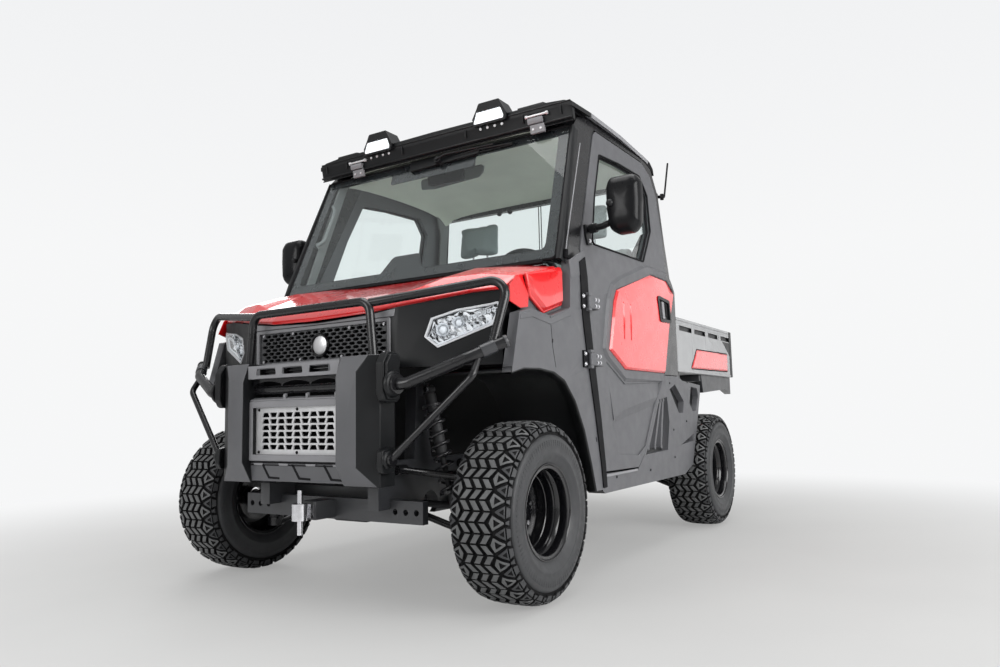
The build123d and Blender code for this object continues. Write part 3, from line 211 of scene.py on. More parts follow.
class Form:
    """Faces gathered for one piece."""

    def __init__(self):
        self.verts = []
        self.faces = []
        self.shade = 0
        self.shades = []

    def settle(self):
        """Gives the faces added since the last call the shade that was set for them."""
        self.shades += [self.shade] * (len(self.faces) - len(self.shades))

    def use(self, shade):
        """Material, by its place in the piece's list, for the faces that follow."""
        self.settle()
        self.shade = shade

    def add(self, verts, faces):
        start = len(self.verts)
        self.verts += [Vector(v) for v in verts]
        self.faces += [[start + i for i in face] for face in faces]
        return start

    def slab(self, points, offset):
        """Closed flat outline carried along an offset."""
        n = len(points)
        offset = Vector(offset)
        verts = [Vector(p) for p in points] + [Vector(p) + offset for p in points]
        faces = [list(range(n))[::-1], list(range(n, 2 * n))]
        faces += [[i, (i + 1) % n, n + (i + 1) % n, n + i] for i in range(n)]
        self.add(verts, faces)

    def side(self, points, y0, y1):
        """Slab seen from the side: outline in (a, z)."""
        self.slab([(a, y0, z) for a, z in points], (0, y1 - y0, 0))

    def front(self, points, a0, a1):
        """Slab seen from ahead: outline in (y, z)."""
        self.slab([(a0, y, z) for y, z in points], (a1 - a0, 0, 0))

    def plan(self, points, z0, z1):
        """Slab seen from above: outline in (a, y)."""
        self.slab([(a, y, z0) for a, y in points], (0, 0, z1 - z0))

    def block(self, a0, a1, y0, y1, z0, z1):
        self.plan([(a0, y0), (a1, y0), (a1, y1), (a0, y1)], z0, z1)

    def tube(self, points, radius, bend=0.0, sides=16, closed=False, taper=None):
        """Round bar along runs joined by bends; taper gives a radius for each point of the path."""
        path = rounded_path([Vector(p) for p in points], bend) if bend else [Vector(p) for p in points]
        n = len(path)
        radii = taper or [radius] * n
        ways = []
        for i in range(n):
            before = path[i] - path[i - 1] if i or closed else path[1] - path[0]
            after = path[(i + 1) % n] - path[i] if i < n - 1 or closed else before
            ways.append((before.normalized() + after.normalized()).normalized())
        across = ways[0].orthogonal().normalized()
        verts = []
        for i, (p, way) in enumerate(zip(path, ways)):
            across = (across - way * across.dot(way)).normalized()
            other = way.cross(across)
            verts += [p + (across * cos(t) + other * sin(t)) * radii[i]
                      for t in (2 * pi * k / sides for k in range(sides))]
        spans = n if closed else n - 1
        faces = []
        for i in range(spans):
            j = (i + 1) % n
            faces += [[i * sides + k, i * sides + (k + 1) % sides, j * sides + (k + 1) % sides, j * sides + k]
                      for k in range(sides)]
        if not closed:
            faces += [list(range(sides))[::-1], [(n - 1) * sides + k for k in range(sides)]]
        self.add(verts, faces)

    def spun(self, profile, middle, axis="y", sides=48, closed=True):
        """Profile of (radius, offset along the axis) turned about an axis through the middle."""
        frames = {"x": ((0, 1, 0), (0, 0, 1), (1, 0, 0)), "y": ((0, 0, 1), (1, 0, 0), (0, 1, 0)),
                  "z": ((1, 0, 0), (0, 1, 0), (0, 0, 1))}
        u, v, w = (Vector(c) for c in (frames[axis] if isinstance(axis, str) else axis))
        middle = Vector(middle)
        n = len(profile)
        verts = []
        for k in range(sides):
            t = 2 * pi * k / sides
            verts += [middle + (u * cos(t) + v * sin(t)) * r + w * s for r, s in profile]
        spans = n if closed else n - 1
        faces = []
        for k in range(sides):
            j = (k + 1) % sides
            faces += [[k * n + i, k * n + (i + 1) % n, j * n + (i + 1) % n, j * n + i] for i in range(spans)]
        self.add(verts, faces)

    def bolt(self, place, way, radius, height=None):
        """Head with a washer, standing on a face."""
        place, way = Vector(place), Vector(way).normalized()
        height = height or radius * 0.7
        u = way.orthogonal().normalized()
        v = way.cross(u)
        for r, low, high, n in ((radius * 1.35, -1, radius * 0.18, 16), (radius, radius * 0.18, height, 6)):
            turns = [2 * pi * k / n for k in range(n)]
            self.slab([place + (u * cos(t) + v * sin(t)) * r + way * low for t in turns], way * (high - low))

    def ball(self, middle, radius):
        profile = [(max(0.01, radius * sin(pi * i / 8)), -radius * cos(pi * i / 8)) for i in range(9)]
        self.spun(profile, middle, "z", 16, closed=False)

    def loft(self, rings):
        """Closed skin over rings of as many points, with a face over each end."""
        n = len(rings[0])
        start = self.add([p for ring in rings for p in ring], [])
        for i in range(len(rings) - 1):
            for j in range(n):
                k = (j + 1) % n
                self.faces.append([start + i * n + j, start + i * n + k, start + (i + 1) * n + k,
                                   start + (i + 1) * n + j])
        last = len(self.verts)
        self.faces += [list(range(start, start + n)), list(range(last - n, last))[::-1]]

    def relief(self, outline, place, holes=(), dents=(), step=0.0, thickness=0.0, lines=()):
        """Sheet inside an outline with holes, dents and crease lines.

        place(u, v, depth) gives the point; a dent is (points, depth, slope): its floor lies depth
        below the sheet, inside the points drawn in by slope."""
        loops = [list(outline)] + [list(h) for h in holes]
        floors = []
        for points, depth, slope in dents:
            loops.append(list(points))
            inner = drawn_in(points, slope)
            loops.append(inner)
            floors.append((inner, depth))
        verts, edges = [], []
        for loop in loops:
            start, n = len(verts), len(loop)
            verts += [Vector(p) for p in loop]
            edges += [(start + i, start + (i + 1) % n) for i in range(n)]
        for line in lines:
            start = len(verts)
            verts += [Vector(p) for p in line]
            edges += [(start + i, start + i + 1) for i in range(len(line) - 1)]
        if step:
            us, vs = [p[0] for p in outline], [p[1] for p in outline]
            u = min(us) + step / 2
            while u < max(us):
                v = min(vs) + step / 2
                while v < max(vs):
                    clear = min(distance_to((u, v), loop) for loop in loops)
                    if clear > step * 0.3 and inside((u, v), outline):
                        verts.append(Vector((u, v)))
                    v += step
                u += step
        found, _, triangles, _, _, _ = delaunay_2d_cdt(verts, edges, [], 0, 1e-4)
        kept = []
        for t in triangles:
            centre = sum((found[i] for i in t), Vector((0, 0))) / 3
            if inside(centre, outline) and not any(inside(centre, h) for h in holes):
                kept.append(list(t))
        depths = []
        for p in found:
            deep = 0.0
            for inner, depth in floors:
                if inside(p, inner) or distance_to(p, inner) < 0.05:
                    deep = depth
            depths.append(deep)
        front = [place(p[0], p[1], d) for p, d in zip(found, depths)]
        start = self.add(front, kept)
        if thickness:
            back = [place(p[0], p[1], max(thickness, d + 2.5)) for p, d in zip(found, depths)]
            base = self.add(back, [t[::-1] for t in kept])
            sides_of = {}
            for t in kept:
                for i in range(3):
                    e = (t[i], t[(i + 1) % 3])
                    sides_of[frozenset(e)] = sides_of.get(frozenset(e), []) + [e]
            for e, uses in sides_of.items():
                if len(uses) == 1:
                    i, j = uses[0]
                    self.faces.append([start + j, start + i, base + i, base + j])

    def finish(self, name, body, mat, replaces=(), side=1, weld=0.01, **edges):
        """Turns the gathered faces into a piece on a body; side=-1 mirrors it to the right."""
        mesh = bpy.data.meshes.new(name)
        mesh.from_pydata([((FRONT_X + v.x) * MM, v.y * MM * side, v.z * MM) for v in self.verts], [],
                         self.faces)
        self.settle()
        mesh.polygons.foreach_set("material_index", self.shades)
        bm = bmesh.new()
        bm.from_mesh(mesh)
        bmesh.ops.remove_doubles(bm, verts=bm.verts, dist=weld * MM)
        bmesh.ops.recalc_face_normals(bm, faces=bm.faces)
        bm.to_mesh(mesh)
        bm.free()
        return dressed(mesh, name, body, mat, replaces, **edges)

    def pair(self, name, body, mat, replaces=(), **edges):
        """The piece on the left and its mirror image on the right; {side} stands for the side's name.

        A replaced node without {side} in its name goes to the left piece."""
        for side, sign in SIDES:
            nodes = [node.format(side=side) for node in replaces if sign > 0 or "{side}" in node]
            made = self.finish(f"{side}_{name}", body.format(side=side), mat, nodes, sign, **edges)
        return made


def dressed(mesh, name, body, mat, replaces=(), smooth=35.0, bevel=0.0, segments=2, subdivide=0, limit=32.0):
    """Object of a mesh with its material, edges and body."""
    mats = (mat,) if isinstance(mat, str) else mat
    shades = [polygon.material_index for polygon in mesh.polygons]
    mesh.materials.clear()
    for one in mats:
        mesh.materials.append(MATERIALS[one])
    mesh.polygons.foreach_set("material_index", [min(s, len(mats) - 1) for s in shades])
    obj = bpy.data.objects.new(name, mesh)
    bpy.context.scene.collection.objects.link(obj)
    if bevel:
        edge = obj.modifiers.new("edges", "BEVEL")
        edge.width = bevel * MM
        edge.segments = segments
        edge.limit_method = "ANGLE"
        edge.angle_limit = radians(limit)
        edge.harden_normals = False
    if subdivide:
        finer = obj.modifiers.new("subdivision", "SUBSURF")
        finer.levels = finer.render_levels = subdivide
    mesh.shade_smooth()
    mesh.set_sharp_from_angle(angle=radians(smooth))
    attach(obj, body)
    if replaces:
        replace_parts(obj, *replaces)
    return obj


def softened(node, name, body, mat, bevel=3.0, segments=2, limit=32.0, smooth=40.0, second=None):
    """The frame's own shape, edges rounded; second(centre, normal) picks the second material's faces."""
    mesh = frame["nodes"][node].data.copy()
    mesh.name = name
    bm = bmesh.new()
    bm.from_mesh(mesh)
    bmesh.ops.remove_doubles(bm, verts=bm.verts, dist=0.02 * MM)
    bmesh.ops.dissolve_limit(bm, angle_limit=radians(1.0), verts=bm.verts, edges=bm.edges)
    for face in bm.faces:
        centre = face.calc_center_median() / MM
        place = Vector((centre.x - FRONT_X, abs(centre.y), centre.z))
        face.material_index = 1 if second and second(place, face.normal) else 0
    bm.to_mesh(mesh)
    bm.free()
    return dressed(mesh, name, body, mat, (node,), smooth, bevel, segments, limit=limit)


def rounded_path(points, bend):
    """Runs joined by arcs of one radius, as a list of points."""
    path = [points[0]]
    for before, corner, after in zip(points, points[1:], points[2:]):
        u, v = (before - corner).normalized(), (after - corner).normalized()
        half = u.angle(v) / 2
        if pi - 2 * half < 0.02:
            path.append(corner)
            continue
        reach = min(bend / tan(half), (before - corner).length * 0.49, (after - corner).length * 0.49)
        radius = reach * tan(half)
        centre = corner + (u + v).normalized() * (radius / sin(half))
        start, end = corner + u * reach, corner + v * reach
        turn = pi - 2 * half
        count = max(3, int(degrees(turn) / ARC_STEP) + 1)
        axis = (start - centre).cross(end - centre).normalized()
        turns = [Matrix.Rotation(turn * k / count, 3, axis) for k in range(count + 1)]
        path += [centre + matrix @ (start - centre) for matrix in turns]
    return path + [points[-1]]


def inside(point, loop):
    """Whether a point lies inside a closed outline."""
    x, y = point[0], point[1]
    found = False
    for (x0, y0), (x1, y1) in zip(loop, loop[1:] + loop[:1]):
        if (y0 > y) != (y1 > y) and x < (x1 - x0) * (y - y0) / (y1 - y0) + x0:
            found = not found
    return found


def distance_to(point, loop):
    """Shortest way from a point to a closed line."""
    best = 1e9
    p = Vector((point[0], point[1]))
    for a, b in zip(loop, loop[1:] + loop[:1]):
        a, b = Vector(a), Vector(b)
        along = b - a
        share = max(0.0, min(1.0, (p - a).dot(along) / max(along.length_squared, 1e-9)))
        best = min(best, (p - a - along * share).length)
    return best


def drawn_in(points, amount):
    """Outline moved inwards; points may run either way round."""
    n = len(points)
    area = sum(p[0] * q[1] - q[0] * p[1] for p, q in zip(points, points[1:] + points[:1]))
    turn = 1 if area > 0 else -1
    moved = []
    for i in range(n):
        before, here, after = (Vector(points[k % n]) for k in (i - 1, i, i + 1))
        e0, e1 = (here - before).normalized(), (after - here).normalized()
        n0, n1 = Vector((-e0.y, e0.x)) * turn, Vector((-e1.y, e1.x)) * turn
        mean = n0 + n1
        moved.append(tuple(here + mean * (amount / max(0.35, mean.length_squared / 2))))
    return moved


def arc_corners(points, radius, count=4):
    """Closed outline with its corners rounded."""
    n = len(points)
    result = []
    for i in range(n):
        before, here, after = (Vector(points[k % n]) for k in (i - 1, i, i + 1))
        r = radius[i] if isinstance(radius, (list, tuple)) else radius
        if r <= 0:
            result.append(tuple(here))
            continue
        u, v = (before - here).normalized(), (after - here).normalized()
        half = max(0.05, u.angle(v) / 2)
        reach = min(r / tan(half), (before - here).length * 0.45, (after - here).length * 0.45)
        start, end = here + u * reach, here + v * reach
        for k in range(count + 1):
            t = k / count
            result.append(tuple(start * (1 - t) ** 2 + here * 2 * t * (1 - t) + end * t ** 2))
    return result


def skin_y(z):
    """Half width over the cab's side at a height."""
    return BODY_HALF - max(0.0, z - BELT_Z) * SIDE_LEAN


def on_side(points, out):
    """Outline laid on the cab's side, mm out from it."""
    return [(a, skin_y(z) + out, z) for a, z in points]


# ================================================================ wheels
PITCHES = 28                    # pairs of zig-zag rows round a tyre
PITCH = 2 * pi * TYRE_RADIUS / PITCHES
LUG_HEIGHT = 11.0
SHOULDER = [  # outer line of the tyre: radius, offset from its middle
    (TYRE_RADIUS, 0.0), (TYRE_RADIUS - 0.6, 32.0), (TYRE_RADIUS - 2.0, 60.0), (TYRE_RADIUS - 6.5, 88.0),
    (TYRE_RADIUS - 14.0, 103.0), (TYRE_RADIUS - 26.0, 112.5), (TYRE_RADIUS - 44.0, 117.0)]


def on_tread(s, depth):
    """Radius and offset at an arc length out from the tyre's middle, below its outer line."""
    left = abs(s)
    for (r0, y0), (r1, y1) in zip(SHOULDER, SHOULDER[1:]):
        run = hypot(r1 - r0, y1 - y0)
        if left <= run or (r1, y1) == SHOULDER[-1]:
            t = left / run
            nr, ny = (y1 - y0) / run, (r0 - r1) / run
            r, y = r0 + (r1 - r0) * t - nr * depth, y0 + (y1 - y0) * t - ny * depth
            return r, y if s >= 0 else -y
        left -= run


def tread_point(s, u, depth):
    """Place on the tread: arc length out, arc length round, depth."""
    r, y = on_tread(s, depth)
    return r * cos(u / TYRE_RADIUS), y, r * sin(u / TYRE_RADIUS)


def divided(points, steps):
    """Closed outline with each edge cut into steps."""
    points = [Vector(p) for p in points]
    edges = zip(points, points[1:] + points[:1])
    return [tuple(p.lerp(q, k / steps)) for p, q in edges for k in range(steps)]


def lug(form, corners, pit=None, pit_depth=5.0, steps=1, top_depth=0.0, top=0):
    """Raised tread block on corners (arc length out, arc length round), with a pit sunk in its top; its sides
    and pit take the tyre's painted deep shade, its top faces the shade given by top.
    """
    corners = divided(corners, steps)
    loops = [(drawn_in(corners, -2.2), LUG_HEIGHT + 1.5), (corners, top_depth + 1.4),
             (drawn_in(corners, 1.3), top_depth)]
    if pit:
        pit = divided(pit, steps)
        loops += [(pit, top_depth), (drawn_in(pit, 1.2), top_depth + pit_depth)]
    n = len(corners)
    start = form.add([tread_point(s, u, depth) for loop, depth in loops for s, u in loop], [])
    for k in range(len(loops) - 1):
        # block sides and pit walls take painted deep shade; chamfer and top take the top's tone
        form.use(1 if k in (0, 3) else top)
        form.faces += [[start + k * n + i, start + k * n + (i + 1) % n, start + (k + 1) * n + (i + 1) % n,
                        start + (k + 1) * n + i] for i in range(n)]
    # a pit's floor takes painted deep shade
    form.use(1 if pit else top)
    form.faces.append([start + (len(loops) - 1) * n + i for i in range(n)])
    form.use(1)
    form.faces.append([start + i for i in range(n)][::-1])


def tyre_mesh():
    """Tyre about its own middle: carcass, three zig-zag columns of blocks and triangular shoulder lugs."""
    form = Form()
    crown = [on_tread(s, LUG_HEIGHT) for s in (0, 32, 60, 88, 104, 116)]
    wall = [(TYRE_RADIUS - 50, 108.5), (TYRE_RADIUS - 52, 113.0), (259.0, 116.5), (246.0, 119.0),
            (228.0, 119.6),
            (212.0, 118.2), (208.0, 119.6), (201.0, 119.6), (197.0, 116.5), (186.0, 112.5), (176.0, 107.0),
            (171.0, 103.5), (168.5, 101.5), (160.0, 97.0), (153.0, 94.0)]
    sides = 112
    for way in (1, -1):
        # groove floor between the blocks: painted deep shade; sidewall: painted half shade
        form.use(1)
        form.spun([(r, y * way) for r, y in crown + wall[:1]], (0, 0, 0), "y", sides, closed=False)
        form.use(2)
        form.spun([(r, y * way) for r, y in wall], (0, 0, 0), "y", sides, closed=False)
    zig, column, half_block, half_gap = 12.5, 38.5, 11.0, 2.9
    row = PITCH / 2
    for k in range(PITCHES * 2):
        lean = zig if k % 2 == 0 else -zig
        u0, u1 = k * row + half_gap, (k + 1) * row - half_gap
        for c in (-column, 0.0, column):
            s0, s1 = c - lean * 0.87, c + lean * 0.87
            lug(form, [(s0 - half_block, u0), (s0 + half_block, u0), (s1 + half_block, u1),
                       (s1 - half_block, u1)])
    for k in range(PITCHES):
        for way in (1, -1):
            u = (k if way > 0 else k + 0.5) * PITCH
            v = u + PITCH / 2

            def at(points, middle):
                return [(way * s, middle + du) for s, du in points]

            lug(form, at([(56, 0), (68, -24.5), (108, -2.5), (108, 2.5), (68, 24.5)], u),
                pit=at([(73, 0), (73, -13), (95, -1), (95, 1), (73, 13)], u), steps=2)
            lug(form, at([(62.5, -3), (62.5, 3), (66.5, 3), (66.5, -3)], u), top_depth=-0.9)
            # these shoulder lugs and teeth face outwards and down, so their tops take painted half shade
            lug(form, at([(77, -2), (77, 2), (112, 23), (112, -23)], v),
                pit=at([(92, -1), (92, 1), (107, 11), (107, -11)], v), pit_depth=2.5, steps=3, top_depth=1.0,
                top=2)
            lug(form, at([(115, -19), (115, 19), (134, 14), (134, -14)], v), top_depth=0.6, top=2)
            lug(form, at([(113, -4), (113, 4), (129, 10), (129, -10)], u), top_depth=0.6, top=2)
    # sidewall ribs: painted half shade
    form.use(2)
    for k in range(96):
        t = 2 * pi * k / 96
        ring = [(228.0, -0.006), (249.0, -0.006), (249.0, 0.006), (228.0, 0.006)]
        for way in (1, -1):
            form.slab([(r * cos(t + d), way * 117.5, r * sin(t + d)) for r, d in ring], (0, way * 2.4, 0))
    return form


def rim_mesh():
    """Deep black steel rim; the disc is set inboard, at negative offsets."""
    form = Form()
    barrel = [(167.0, 103.9), (167.5, 101.0), (166.0, 98.0), (156.0, 96.0), (152.4, 92.0), (152.0, 66.0),
              (146.0, 61.0),
              (136.0, 48.0), (134.0, 44.0), (134.0, -44.0), (136.0, -48.0), (146.0, -61.0), (152.0, -66.0),
              (152.4, -92.0), (156.0, -96.0), (166.0, -98.0), (167.5, -101.0), (167.0, -103.9),
              (162.5, -103.9),
              (161.0, -101.0), (151.5, -99.0), (148.4, -95.0), (148.0, -68.0), (142.0, -62.0), (131.0, -50.0),
              (130.0, -44.0), (130.0, 12.0), (131.0, 16.0), (135.0, 19.0), (136.0, 40.0), (138.0, 52.0),
              (142.0, 60.0),
              (148.0, 66.0), (148.4, 92.0), (150.5, 97.0), (157.0, 98.5), (159.5, 99.0), (161.5, 102.0),
              (163.5, 103.9)]
    form.spun(barrel, (0, 0, 0), "y", sides=96)
    disc = [(130.5, -22.0), (122.0, -24.0), (112.0, -30.0), (100.0, -30.5), (78.0, -22.0), (62.0, -20.0),
            (50.0, -20.0), (47.0, -16.0), (44.0, -10.0), (38.0, -10.0), (37.0, -14.0), (37.0, -30.0),
            (60.0, -32.0), (98.0, -38.0), (114.0, -38.0), (130.5, -33.0)]
    form.spun(disc, (0, 0, 0), "y", sides=96)
    cap = [(0.2, 3.0), (20.0, 2.0), (26.0, -2.0), (28.0, -12.0), (30.0, -24.0), (0.2, -24.0)]
    form.spun(cap, (0, 0, 0), "y", sides=40, closed=False)
    for k in range(10):
        t = 2 * pi * k / 10
        middle = Vector((96 * cos(t), -29.0, 96 * sin(t)))
        ring = [(11.5, -6.0), (11.5, 0.5), (9.0, 1.5), (7.0, 0.5), (7.0, -6.0)]
        form.spun(ring, middle, "y", sides=20)
    return form


def wheel(end, side, sign):
    """Dresses one wheel of the frame."""
    a = 0.0 if end == "front" else -WHEELBASE
    middle = Vector((a, sign * WHEEL_Y, AXLE_Z))
    body = f"{end}_{side}_wheel"
    # the tread takes the lit rubber tone, the painted deep shade and the painted half shade
    for base, node, mat in ((tyre_form, "tyre", ("tyre_rubber", "tyre_deep_painted_shade", "tyre_half_painted_shade")),
                            (rim_form, "rim", "rim_paint")):
        form = Form()
        form.verts = [Vector((v[0], v[1] * sign, v[2])) + middle for v in base.verts]
        form.faces = base.faces
        base.settle()
        form.shades = list(base.shades)
        form.finish(f"{body}_{'tread' if node == 'tyre' else 'steel_rim'}", body, mat,
                    replaces=(f"{end}_{side}_{node}",), smooth=38, weld=0.02)
    nuts = Form()
    for k in range(5):
        t = 2 * pi * k / 5 + 0.3
        nuts.bolt(middle + Vector((58 * cos(t), sign * -19.5, 58 * sin(t))), (0, sign, 0), 9.5, 17)
    valve = middle + Vector((120.0, sign * -20.0, 0))
    nuts.tube([valve, valve + Vector((-10, sign * 26, 0))], 3.2, sides=10)
    nuts.finish(f"{body}_nuts", body, "zinc")


tyre_form, rim_form = tyre_mesh(), rim_mesh()
for end in ("front", "rear"):
    for side, sign in SIDES:
        wheel(end, side, sign)


# ================================================================ frame pieces that keep their own shape
KEEP = {  # node: (new piece, material, edge rounding)
    "chassis_frame": ("frame_rails", "frame_paint", 2.5),
    "engine_block": ("engine_and_gearbox", "engine_metal", 12.0),
    "suspension_arms": ("wishbones", "black_paint", 0.0),
    "front_fenders": ("fenders", "dark_plastic", 5.0),
    "side_panels": ("rocker_panels", "dark_plastic", 4.0),
    "front_bumper": ("bumper_mouldings", "dark_plastic", 5.0),
    "front_fascia": ("nose_moulding", "black_plastic", 4.0),
    "cab_frame": ("cab_pillars", "black_paint", 5.0),
    "cab_tub": ("cab_floor", "black_plastic", 5.0),
    "dashboard": ("dash_moulding", "black_plastic", 10.0),
    # the roof takes the paler grille grey in place of its own dark grey plastic: painted light that lifts its
    # shaded side rail
    "roof": ("roof_moulding", "grille_grey", 6.0),
    "bed_tub": ("bed_walls", "bed_steel", 3.0),
    "bed_underframe": ("bed_frame", "frame_paint", 2.5),
    "tailgate": ("tailgate_panel", "bed_steel", 3.0),
    "front_coupler": ("front_drawbar", "zinc", 2.0),
    "steering_wheel": ("wheel_rim_grip", "black_plastic", 0.0),
}
body_of_node = {n: b for b, members in frame["record"]["behaviour"]["bodies"].items() for n in members}
BLACK_AND_SHADED_FACES = {  # node: which of its faces, by centre and normal, are of the second material, black plastic; on the front bumper the side faces take it as painted shade
    "front_fenders": lambda c, n: c.y < 758.5 or (abs(n.y) < 0.5 and c.z < 830 and c.x > -450),
    # the bumper's side faces, by their normal, are black as painted shade
    "front_bumper": lambda c, n: c.y > 336 or abs(n.y) > 0.8,
    "side_panels": lambda c, n: c.y < 745.5,
    "bed_tub": lambda c, n: 1100 < c.z < 1134 and c.y < 739,
    "tailgate": lambda c, n: c.y > 700,
    "roof": lambda c, n: c.x > -560 and c.y < 770}
for node, (name, mat, round_off) in KEEP.items():
    pick = BLACK_AND_SHADED_FACES.get(node)
    softened(node, name, body_of_node[node], (mat, "black_plastic") if pick else mat, bevel=round_off,
             second=pick)
for side, sign in SIDES:
    softened(f"{side}_door_shell", f"{side}_door_moulding", f"{side}_door", "dark_plastic", bevel=4.0)
for node, obj in frame["nodes"].items():
    if not obj.hide_render:
        slot_name = next(s["material_slot"] for s in frame["record"]["subparts"] if s["node"] == node)
        obj.data.materials.clear()
        obj.data.materials.append(MATERIALS[slot_name])
        obj.data.shade_smooth()
        obj.data.set_sharp_from_angle(angle=radians(35))

# ================================================================ front end
GRILLE_FACE = 281.0
BAR_FACE = 424.0
PLATE_FACE = 412.0
NOSE_CORNER = Vector((287.0, 380.0, 0.0))
NOSE_END = Vector((142.0, 735.0, 0.0))
SWEEP = (NOSE_END - NOSE_CORNER).normalized()
SWEEP_OUT = SWEEP.cross(Vector((0, 0, 1)))
LAMP_OUTLINE = [(102.8, 937), (128.1, 1004), (224.0, 1032), (349.7, 1048), (373.9, 1054), (379.0, 1024),
                (349.7, 969), (151.9, 896)]


def on_lamp(along, z, depth):
    """Point on the swept face of the nose: mm out from its corner, height, depth behind the face."""
    return NOSE_CORNER + SWEEP * along + Vector((0, 0, z)) - SWEEP_OUT * depth


def ring_slab(form, place, outer, inner, low, high):
    """Closed band between two outlines of as many points, from one depth to another."""
    n = len(outer)
    loops = [[place(*p, low) for p in outer], [place(*p, high) for p in outer],
             [place(*p, high) for p in inner], [place(*p, low) for p in inner]]
    start = form.add([p for loop in loops for p in loop], [])
    form.faces += [[start + k * n + i, start + k * n + (i + 1) % n, start + (k + 1) % 4 * n + (i + 1) % n,
                    start + (k + 1) % 4 * n + i] for k in range(4) for i in range(n)]


def headlamp():
    """Clear lens over chrome facets and two projectors, in a bright rim."""
    dice = random.Random(11)
    bezel = Form()
    outer = arc_corners(LAMP_OUTLINE, 5)
    ring_slab(bezel, on_lamp, drawn_in(outer, 0.6), drawn_in(outer, 7.5), 12.0, -2.5)
    bezel.pair("lamp_rim", "root", "silver_metal", bevel=1.2)
    bucket = Form()
    ring_slab(bucket, on_lamp, drawn_in(outer, 1.0), drawn_in(outer, 4.0), 30.0, 10.0)
    bucket.pair("lamp_bucket", "root", "black_plastic")
    facets = Form()
    inner = drawn_in(LAMP_OUTLINE, 5)
    facets.relief(inner, lambda u, v, d: on_lamp(u, v, 25.0 + dice.uniform(-5.5, 5.5) + d), step=11.5)
    facets.pair("lamp_facets", "root", "reflector", smooth=2)
    optics = Form()
    for along, z, radius in ((168.0, 962.0, 26.0), (226.0, 985.0, 22.0)):
        cup = [(radius, 4.0), (radius * 0.94, 8.0), (radius * 0.75, 2.0), (radius * 0.6, -4.0),
               (radius * 0.62, -8.0)]
        optics.spun(cup, on_lamp(along, z, 16.0), (SWEEP, Vector((0, 0, 1)), SWEEP_OUT), sides=32)
        dome = [(0.1, 8.0), (radius * 0.3, 6.6), (radius * 0.5, 2.0), (radius * 0.58, -5.0), (0.1, -5.0)]
        optics.use(1)
        optics.spun(dome, on_lamp(along, z, 16.0), (SWEEP, Vector((0, 0, 1)), SWEEP_OUT), sides=32,
                    closed=False)
        optics.use(0)
    for k in range(6):
        along, z = 262.0 + 17.0 * k, 1000.0 + 5.2 * k
        cell = arc_corners([(along, z - 9), (along + 13, z - 5), (along + 13, z + 9), (along, z + 5)], 3)
        ring_slab(optics, on_lamp, cell, drawn_in(cell, 2.2), 22.0, 9.0)
        optics.use(1)
        optics.slab([on_lamp(*q, 15.0) for q in drawn_in(cell, 2.0)], SWEEP_OUT * -3)
        optics.use(0)
    optics.pair("lamp_optics", "root", ("reflector", "lamp_white"), smooth=50)
    strip = Form()
    line = [(146.0, 908.0), (346.0, 980.0), (372.0, 1030.0)]
    strip.tube([on_lamp(u, v, 10.0) for u, v in line], 2.6, 8)
    strip.pair("lamp_light_strip", "root", "lamp_white")
    lens = Form()
    lens.slab([on_lamp(*q, -1.0) for q in drawn_in(outer, 1.0)], SWEEP_OUT * 3.0)
    return lens.pair("lamp_lens", "root", "lamp_lens", bevel=1.2)


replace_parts(headlamp(), "headlamps")


def facing(a):
    """Places points on a plane across the vehicle."""
    return lambda y, z, depth: Vector((a - depth, y, z))


def box_outline(half, low, high):
    """Rectangle in (y, z), as wide to the left as to the right."""
    return [(-half, low), (half, low), (half, high), (-half, high)]


grille_trim = Form()
ring_slab(grille_trim, facing(GRILLE_FACE), arc_corners(box_outline(354.0, 868.0, 1015.0), 8),
          arc_corners(box_outline(338.5, 881.5, 1001.5), 3), 0.0, -9.0)
grille_trim.front([(-372, 1017), (372, 1017), (378, 1043), (250, 1031), (0, 1023), (-250, 1031),
                   (-378, 1043)],
                  287.0, 291.5)
grille_trim.finish("upper_grille_frame", "root", "grille_grey", bevel=3.0)
fins = Form()
fins.front(box_outline(338, 882, 1001), 240.0, 246.0)
for k in range(-33, 34):
    fins.block(246.0, 258.0, k * 10.0 - 0.8, k * 10.0 + 0.8, 884.0, 999.0)
for z in (905, 941, 977):
    fins.tube([(256, -336, z), (256, 336, z)], 3.5, sides=8)
fins.finish("radiator_fins", "root", "black_plastic")
badge = Form()
badge.spun([(47, -12), (47, 2), (44, 6), (40, 6), (38.5, 3), (37, 1.5), (37, -12)], (284, 0, 938), "x",
           sides=56)
badge.use(1)
badge.spun([(0.2, 6.5), (14, 6.2), (28, 4.6), (35.5, 1.5), (37, -2), (37, -8), (0.2, -8)], (284, 0, 938), "x",
           sides=56, closed=False)
badge.finish("round_badge_blank", "root", ("rim_paint", "silver_metal"), smooth=30)
clips = Form()
for y, z in ((-318, 994), (-150, 994), (150, 994), (318, 994), (-318, 889), (-110, 889), (110, 889),
             (318, 889)):
    clips.bolt((GRILLE_FACE, y, z), (1, 0, 0), 4.5)
clips.finish("grille_screws", "root", "zinc")

